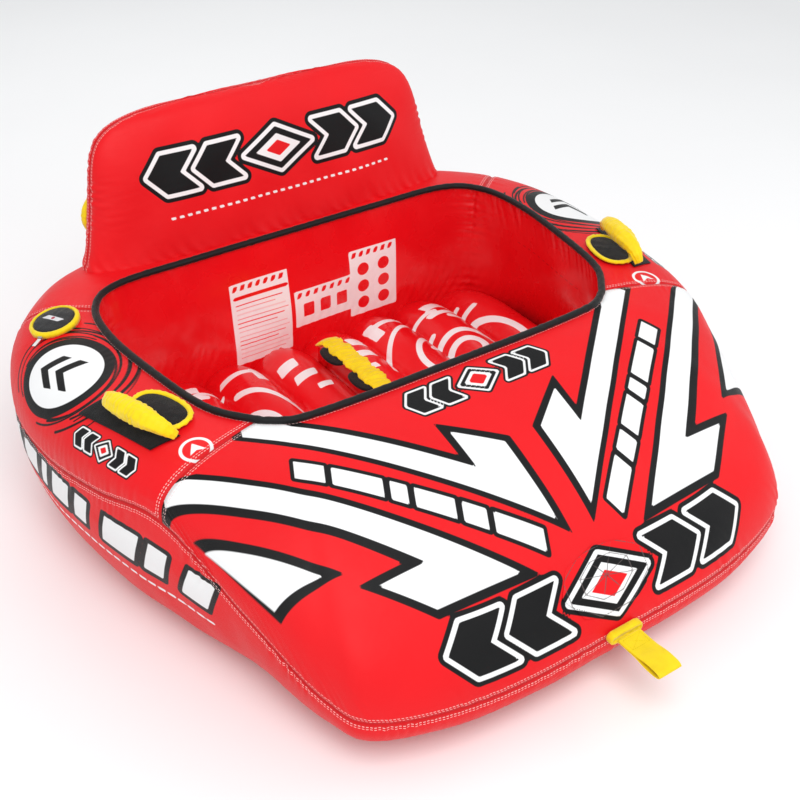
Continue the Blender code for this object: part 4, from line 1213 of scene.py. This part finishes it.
side_handle(-1, "left_handle")
side_handle(1, "right_handle")

# ---- The centre handle ---------------------------------------------------------------------------------------


STRAP_GATHERS = 5.0
PAD_PROFILE = [
    (0.86, -0.0030), (0.97, -0.0026), (1.0, 0.0), (0.97, 0.0026), (0.86, 0.0032), (0.5, 0.0036), (0.1, 0.0038),
]


def centre_handle():
    """The short grab strap in the floor's middle, gathered in five places, and the pads at its ends."""
    low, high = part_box("centre_handle_webbing")
    base = low[2]
    front = low[1]
    rear = high[1]
    top = high[2] - 0.0015
    run = 0.35 * (rear - front)
    middle = (front + rear) / 2
    shoulder = base + 0.62 * (top - base)
    foot = base + 0.0075
    path = [
        (front + 0.006, 0, foot), (middle - run - 0.030, 0, shoulder), (middle - run, 0, top - 0.002),
        (middle, 0, top), (middle + run, 0, top - 0.002), (middle + run + 0.030, 0, shoulder),
        (rear - 0.006, 0, foot),
    ]
    dense = even(path, 150)
    share = np.linspace(0, 1, len(dense))
    rings = []
    for t, point in zip(share, dense):
        flare = 0.5 + 0.5 * math.cos(2 * math.pi * (t * STRAP_GATHERS + 0.5))
        pinch = min(1.0, min(t, 1 - t) / 0.06)
        width = (0.015 + 0.0150 * pinch) * (0.84 + 0.20 * flare)
        ring = []
        for angle in full_turn(40):
            edge = abs(math.cos(angle)) ** 6
            which = np.array(math.copysign(1.0, math.cos(angle)))
            ripple = float(waves(81, np.array(t), which, wavelengths=(0.075, 5.0)))
            x = width * math.cos(angle) + 0.0011 * ripple * edge
            z = (0.0056 + 0.0018 * flare) * math.sin(angle) + 0.0022 * ripple * edge
            z += 0.0008 * float(waves(82, np.array(t), np.array(angle / 6.28), wavelengths=(0.05, 0.4)))
            ring.append((x, point[0], point[2] + z))
        rings.append(ring)
    strap = tube("centre_handle_sleeve", rings, sleeve_cloth)
    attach(strap, "centre_handle")
    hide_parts("centre_handle_webbing")
    for name in ("front", "rear"):
        low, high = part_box(f"centre_handle_{name}_pad")
        x, y, z = ((a + b) / 2 for a, b in zip(low, high))
        outline = rounded_oval(high[1] - low[1], high[0] - low[0], 48)
        rings = []
        for size, height in PAD_PROFILE:
            rings.append([(x + b * size, y + a * size, z + height) for a, b in outline])
        obj = tube(f"centre_handle_{name}_pad_skin", rings, knit)
        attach(obj, "centre_handle")
        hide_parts(f"centre_handle_{name}_pad")


centre_handle()

# ---- Valves --------------------------------------------------------------------------------------------------


HOLE_RADIUS = 0.0505
BED_RADIUS = 0.0550
BED_DEPTH = -0.0030
BAND_ON_COVER = [(0.0473, 0.0012), (0.0475, 0.0010), (0.0515, 0.0004), (0.0550, 0.0008)]
BAND_IN_FRAME = [
    (0.0566, 0.0062), (0.0556, 0.0098), (0.0526, 0.0122), (0.0490, 0.0126), (0.0474, 0.0114), (0.0472, 0.0070),
]
LID_RADIUS = 0.0462
LID_UNDERSIDE = 0.0086
LID_PROFILE = [
    (0.02, 0.0), (0.5, 0.0), (0.93, 0.0), (0.985, 0.0006), (1.0, 0.0016), (0.985, 0.0028), (0.95, 0.0034),
    (0.85, 0.0044), (0.72, 0.0052), (0.56, 0.0060), (0.4, 0.0065), (0.25, 0.0068), (0.1, 0.0070), (0.02, 0.0070),
]
LID_BAR = [(-0.030, -0.006), (-0.020, 0.007), (0.030, 0.007), (0.020, -0.006)]
LID_BAR_TURN = ((0.5, 0.86), (-0.86, 0.5))


def lid_material():
    """The lid's cloth: black, with a plain pale bar and a small dark red dot printed on it."""
    shader = Shader("lid_cloth", 0.5, sheen_weight=0.12, sheen_roughness=0.4)
    colour = printed(shader, BLACK, ((0.72, 0.72, 0.74), (0.45, 0.02, 0.05), None, None))
    colour = shader.shade(colour, shader.noise(60.0), 0.85, 1.08)
    shader.weave(0.0012, 0.00008, False)
    shader.raise_by(shader.noise(60.0), 0.0006)
    return shader.finish(colour)


lid_cloth = lid_material()


def open_hole(panel_name, place):
    """Cut the round hole that a lid covers. Its edge lies under the zip band."""
    shape = bmesh.new()
    shape.from_mesh(panels[panel_name].data)
    axis = place.normal
    inside = []
    for vertex in shape.verts:
        away = vertex.co - place.origin
        if away.length < 0.1 and (away - away.dot(axis) * axis).length < HOLE_RADIUS:
            inside.append(vertex)
    bmesh.ops.delete(shape, geom=inside, context="VERTS")
    shape.to_mesh(panels[panel_name].data)
    shape.free()


def valve(place, name, panel_name):
    """A valve's soft parts: the sheet under it, the band that its zip runs in, and its padded lid."""
    frame_matrix = place.matrix()
    open_hole(panel_name, place)
    bed = []
    for radius in np.linspace(0.0006, BED_RADIUS, 12):
        bed.append([place.on_surface(radius * math.cos(a), radius * math.sin(a), BED_DEPTH) for a in full_turn(64)])
    away = tuple(place.normal)
    bed_skin = grid_object(f"{name}_bed_skin", np.array(bed), plain_vinyl, lambda c: away, closed_columns=True)
    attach(bed_skin, "hull")
    turns = full_turn(96)
    gather = 0.00035 * waves(91, turns / 6.28, wavelengths=(0.05,))
    rings = []
    for profile, spot in ((BAND_ON_COVER, place.on_surface), (BAND_IN_FRAME, place.at)):
        for radius, height in profile:
            radii = radius + gather
            rings.append([spot(r * math.cos(turn), r * math.sin(turn), height) for turn, r in zip(turns, radii)])
    band = tube(f"{name}_band_skin", rings, band_cloth, closed=True)
    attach(band, "hull")
    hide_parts(f"{name}_zip_ring")
    rings = []
    flat = []
    for share, height in LID_PROFILE:
        x = np.cos(turns) * share
        y = np.sin(turns) * share
        lump = 0.0004 * waves(92, x, y, wavelengths=(0.7, 0.7)) * (share > 0.1)
        flat += list(zip(LID_RADIUS * x, LID_RADIUS * y))
        ring = zip(LID_RADIUS * x, LID_RADIUS * y, LID_UNDERSIDE + height + lump)
        rings.append([frame_matrix @ Vector(point) for point in ring])
    lid = tube(f"{name}_lid_skin", rings, lid_cloth, caps=False)
    flat = np.array(flat)
    sheet = Print(flat)
    sheet.add("ink_one", polygon(flat @ np.array(LID_BAR_TURN), LID_BAR))
    sheet.add("ink_two", disc(flat, np.array((0.0, 0.0)), 0.0045))
    set_layers(lid.data, sheet.layers)
    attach(lid, f"{name}_lid_body")
    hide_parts(f"{name}_lid")


deck_valve = Place(deck_tree, (-0.640, 0.470, 1.0), (0, 0, -1), (-1, 0.1, 0))
valve(deck_valve, "deck_valve", "left_deck_skin")
back_valve = Place(back_tree, (-0.405, 1.2, 0.560), (0, -1, 0), (-1, 0, 0))
valve(back_valve, "backrest_valve", "backrest_rear_skin")

# ---- The tow point -------------------------------------------------------------------------------------------


def webbing_strip(name, path, x0, x1, thickness, material, body):
    """A flat woven strip that follows a path in the plane across it, with rounded selvedges."""
    tangent = np.gradient(path, axis=0)
    tangent /= np.linalg.norm(tangent, axis=1, keepdims=True)
    side = np.stack((-tangent[:, 1], tangent[:, 0]), axis=1)
    rings = []
    half = (x1 - x0) / 2
    middle = (x0 + x1) / 2
    outline = []
    for angle in full_turn(56):
        c = math.cos(angle)
        s = math.sin(angle)
        outline.append((half * math.copysign(abs(c) ** 0.16, c), 0.5 * thickness * math.copysign(abs(s) ** 0.5, s)))
    for point, out in zip(path, side):
        rings.append([(middle + a, point[0] + out[0] * b, point[1] + out[1] * b) for a, b in outline])
    obj = tube(name, rings, material)
    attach(obj, body)
    return obj


TOW_THREAD_CORNERS = [(-0.022, 0.006), (0.022, 0.006), (0.022, 0.034), (-0.022, 0.034)]
TOW_THREAD_LINES = [(0, 2), (1, 3), (0, 1), (3, 2), (0, 3), (1, 2)]
TOW_THREAD_PITCH = 0.0042
TOW_THREAD_HALF_WIDTH = 0.00042
COLLAR_PROFILE = [(0.0, 0.92), (0.12, 1.0), (0.5, 1.04), (0.86, 1.0), (1.0, 0.86), (1.0, 0.55), (0.82, 0.36)]


def tow_loop():
    """The towing strap, folded back and stitched to itself, and the collar that it comes out of."""
    low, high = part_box("tow_loop")
    z = (low[2] + high[2]) / 2
    start = high[1]
    end = low[1]
    upper = [
        (start, 0.0017), (start - 0.034, 0.0017), (start - 0.048, 0.0022), (start - 0.060, 0.0045),
        (start - 0.076, 0.0069), (start - 0.092, 0.0068), (end + 0.010, 0.0058), (end + 0.0042, 0.0038),
        (end + 0.0018, 0.0),
    ]
    smooth = smoothed(even(upper, 60), 6)
    path = np.concatenate((smooth, smooth[-2::-1] * (1, -1))) + (0, z)
    strip = webbing_strip("tow_loop_skin", path, low[0], high[0], 0.0030, webbing, "tow_loop_body")
    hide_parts("tow_loop")
    threads = []
    for first, last in TOW_THREAD_LINES:
        a = np.array(TOW_THREAD_CORNERS[first])
        b = np.array(TOW_THREAD_CORNERS[last])
        length = np.linalg.norm(b - a)
        steps = int(length / TOW_THREAD_PITCH)
        for step in range(steps):
            threads.append((a + (b - a) * (step + 0.12) / steps, a + (b - a) * (step + 0.80) / steps))
    points = []
    faces = []
    for side in (1, -1):
        for first, last in threads:
            run = (last - first) / np.linalg.norm(last - first)
            across = np.array((-run[1], run[0])) * TOW_THREAD_HALF_WIDTH
            level = z + side * 0.0032
            base = len(points)
            for corner, lift in ((first, 0.0), (0.5 * (first + last), 0.00055), (last, 0.0)):
                for shift in (-1, 0, 1):
                    spot = corner + across * shift
                    crown = 0.0003 if shift == 0 else 0.0
                    points.append((spot[0], start - spot[1], level + side * (lift + crown)))
            for row in range(2):
                for column in range(2):
                    i = base + row * 3 + column
                    faces.append((i, i + 1, i + 4, i + 3))

    def outward(centre):
        return (0, 0, 1 if centre[2] > z else -1)

    stitches = mesh_object("tow_loop_stitches", points, faces, stitch_thread, outward)
    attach(stitches, "tow_loop_body")
    low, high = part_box("tow_collar")
    middle = (low[2] + high[2]) / 2
    rings = []
    for y_share, scale in COLLAR_PROFILE:
        ring = []
        y = high[1] + (low[1] - high[1]) * y_share
        for angle in full_turn(60):
            c = math.cos(angle)
            s = math.sin(angle)
            x = 0.5 * (high[0] - low[0]) * math.copysign(abs(c) ** 0.35, c) * (0.86 + 0.14 * scale)
            h = 0.5 * (high[2] - low[2]) * math.copysign(abs(s) ** 0.75, s) * scale
            h += 0.0009 * float(waves(95, np.array(angle / 6.28), np.array(y_share), wavelengths=(0.12, 2.0)))
            ring.append((x, y, middle + h))
        rings.append(ring)
    collar = tube("tow_collar_skin", rings, webbing)
    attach(collar, "hull")
    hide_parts("tow_collar")


stitch_thread = plain_fabric("stitch_thread", (0.80, 0.58, 0.0), 0.6, 0.0008, 0.00005, 0.1)
tow_loop()


def harness_material():
    """The reinforcing patch: the cover's printed cloth with rows of dark stitching across it."""
    shader = Shader("harness_cloth", COVER_ROUGHNESS, COVER_SPECULAR, **COVER_SHEEN)
    colour = printed(shader, RED, (BLACK, WHITE, BLACK, RED))
    colour = shader.shade(colour, shader.noise(6.0, 4.0), 0.90, 1.05)
    hit = shader.ramp(shader.attribute("thread"), 0.0007, 0.0013, 1.0, 0.0)
    colour = shader.mix(shader.math("MULTIPLY", hit, 0.7), colour, (0.10, 0.08, 0.08))
    shader.raise_by(hit, 0.0004)
    shader.raise_by(shader.noise(20.0), 0.0010)
    return shader.finish(colour)


def harness_patch():
    """The octagon sewn over the tow point, printed like the deck around it."""
    low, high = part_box("tow_harness_patch")
    deck = hull_grid("deck", -2.2, 2.2, 150, 130)
    from_rim = arc(deck, 1)
    seam_away = from_rim[:, -1:] - from_rim
    tree = surface_tree(deck)
    centre = np.array(((low[0] + high[0]) / 2, (low[1] + high[1]) / 2))
    size = np.array((high[0] - low[0], high[1] - low[1]))
    count = 96
    angles = full_turn(count)
    reach = 0.5 * np.cos(math.pi / 8) / np.cos((angles % (math.pi / 4)) - math.pi / 8)
    rows = []
    for share in [0.02] + list(np.linspace(0.06, 0.985, 60)) + [1.0, 1.0]:
        rows.append(np.stack((np.cos(angles) * reach * share, np.sin(angles) * reach * share), axis=1))
    flat = np.array(rows)
    places = flat * size * 0.995 + centre
    grid = np.zeros((*places.shape[:2], 3))
    away = np.zeros(places.shape[:2])
    for r in range(len(places)):
        lift = (0.0022, 0.0004)[r == len(places) - 1]
        for c in range(count):
            x, y = places[r, c]
            spot, normal, index, _ = tree.ray_cast(Vector((x, y, 1.0)), Vector((0, 0, -1)))
            if normal.z < 0:
                normal = -normal
            grid[r, c] = spot + normal * lift
            row, column = divmod(index, deck.shape[1] - 1)
            inner, outer = deck[row, column], deck[row, column + 1]
            run = outer - inner
            share_out = np.clip((np.array(spot) - inner) @ run / (run @ run), 0, 1)
            away[r, c] = seam_away[row, column] * (1 - share_out) + seam_away[row, column + 1] * share_out
    points = grid.reshape(-1, 3)
    sheet = deck_print(points, away.reshape(-1))
    thread = np.full(len(points), PRINT_REACH)
    local = (points[:, :2] - centre) / size
    turns = [math.pi / 8 + k * math.pi / 4 for k in range(8)]
    corners = [(0.47 * math.cos(turn), 0.47 * math.sin(turn)) for turn in turns]
    scale = float(size.mean())
    for ring in (1.0, 0.62):
        path = [(x * ring, y * ring) for x, y in corners + corners[:1]]
        thread = np.minimum(thread, line(local, path, 0.0) * scale)
    for k in range(4):
        thread = np.minimum(thread, line(local, [corners[k], corners[k + 4]], 0.0) * scale)
    layers = sheet.on_grid(grid)
    layers["thread"] = thread.reshape(grid.shape[:2])
    obj = grid_object("tow_harness_skin", grid, harness_material(), facing_up, layers, closed_columns=True)
    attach(obj, "hull")
    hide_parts("tow_harness_patch")


harness_patch()

# The small hard parts keep their CAD shapes, with their edges softened.
NODE_LOOKS = {
    "centre_handle_front_anchor": plain_vinyl, "centre_handle_rear_anchor": plain_vinyl,
    "deck_valve_body": grey_plastic, "backrest_valve_body": grey_plastic,
    "deck_valve_cap": black_plastic, "backrest_valve_cap": black_plastic,
    "deck_valve_slider": zinc, "backrest_valve_slider": zinc, "closure_zip_slider": zinc,
    "deck_valve_pull": white_plastic, "backrest_valve_pull": white_plastic, "closure_zip_pull": white_plastic,
    "closure_zip_tape": zip_tape,
}
for node_name, look in NODE_LOOKS.items():
    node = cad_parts[node_name]
    node.data.materials.clear()
    node.data.materials.append(look)
    bevel = node.modifiers.new("soft_edges", "BEVEL")
    bevel.width = 0.0006
    bevel.segments = 2
    bevel.limit_method = "ANGLE"

# ---- Floor, light and camera ---------------------------------------------------------------------------------


LAMPS = [
    ("key", (-1.2, -2.2, 3.6), 2.2, 92.0), ("fill", (3.2, -1.4, 2.4), 2.2, 20.0),
    ("back", (0.6, 3.2, 3.0), 2.4, 20.0),
]
CAMERA_PLACE = (-1.2624, -1.7837, 1.8364)
CAMERA_ANGLES = (-34.434, 35.483, 0.196)
FOCAL_PIXELS = 1176.28
PICTURE_PIXELS = 800.0
SENSOR_WIDTH = 36.0


def studio():
    """A pale floor, an even pale sky and three soft lamps."""
    shader = Shader("floor", 0.85)
    colour = shader.shade((0.93, 0.93, 0.93), shader.noise(1.5, 2.0), 0.985, 1.0)
    material = shader.finish(colour)
    points = [(-30, -30, 0), (30, -30, 0), (30, 30, 0), (-30, 30, 0)]
    ground = mesh_object("floor", points, [(0, 1, 2, 3)], material, facing_up, smooth=False)
    world = bpy.data.worlds.new("studio")
    bpy.context.scene.world = world
    world.use_nodes = True
    background = world.node_tree.nodes["Background"].inputs
    background[0].default_value = (0.97, 0.985, 1.0, 1.0)
    background[1].default_value = 0.74
    for name, spot, size, power in LAMPS:
        light = bpy.data.lights.new(name, "AREA")
        light.size = size
        light.energy = power
        lamp = bpy.data.objects.new(name, light)
        bpy.context.collection.objects.link(lamp)
        lamp.location = spot
        lamp.rotation_euler = (Vector((0, 0.1, 0.3)) - Vector(spot)).to_track_quat("-Z", "Y").to_euler()
    bpy.context.scene.view_settings.view_transform = "Standard"


def camera():
    """The photograph's camera. Its angles are azimuth, elevation and roll in degrees."""
    azimuth, elevation, roll = (math.radians(angle) for angle in CAMERA_ANGLES)
    level = math.cos(elevation)
    back = Vector((math.sin(azimuth) * level, -math.cos(azimuth) * level, math.sin(elevation)))
    right = Vector((math.cos(azimuth), math.sin(azimuth), 0.0))
    up = back.cross(right)
    rolled_right = math.cos(roll) * right + math.sin(roll) * up
    rolled_up = math.cos(roll) * up - math.sin(roll) * right
    data = bpy.data.cameras.new("camera")
    data.sensor_width = SENSOR_WIDTH
    data.lens = FOCAL_PIXELS * SENSOR_WIDTH / PICTURE_PIXELS
    eye = bpy.data.objects.new("camera", data)
    bpy.context.collection.objects.link(eye)
    turn = Matrix((rolled_right, rolled_up, back)).transposed().to_4x4()
    eye.matrix_world = Matrix.Translation(CAMERA_PLACE) @ turn
    bpy.context.scene.camera = eye


studio()
camera()
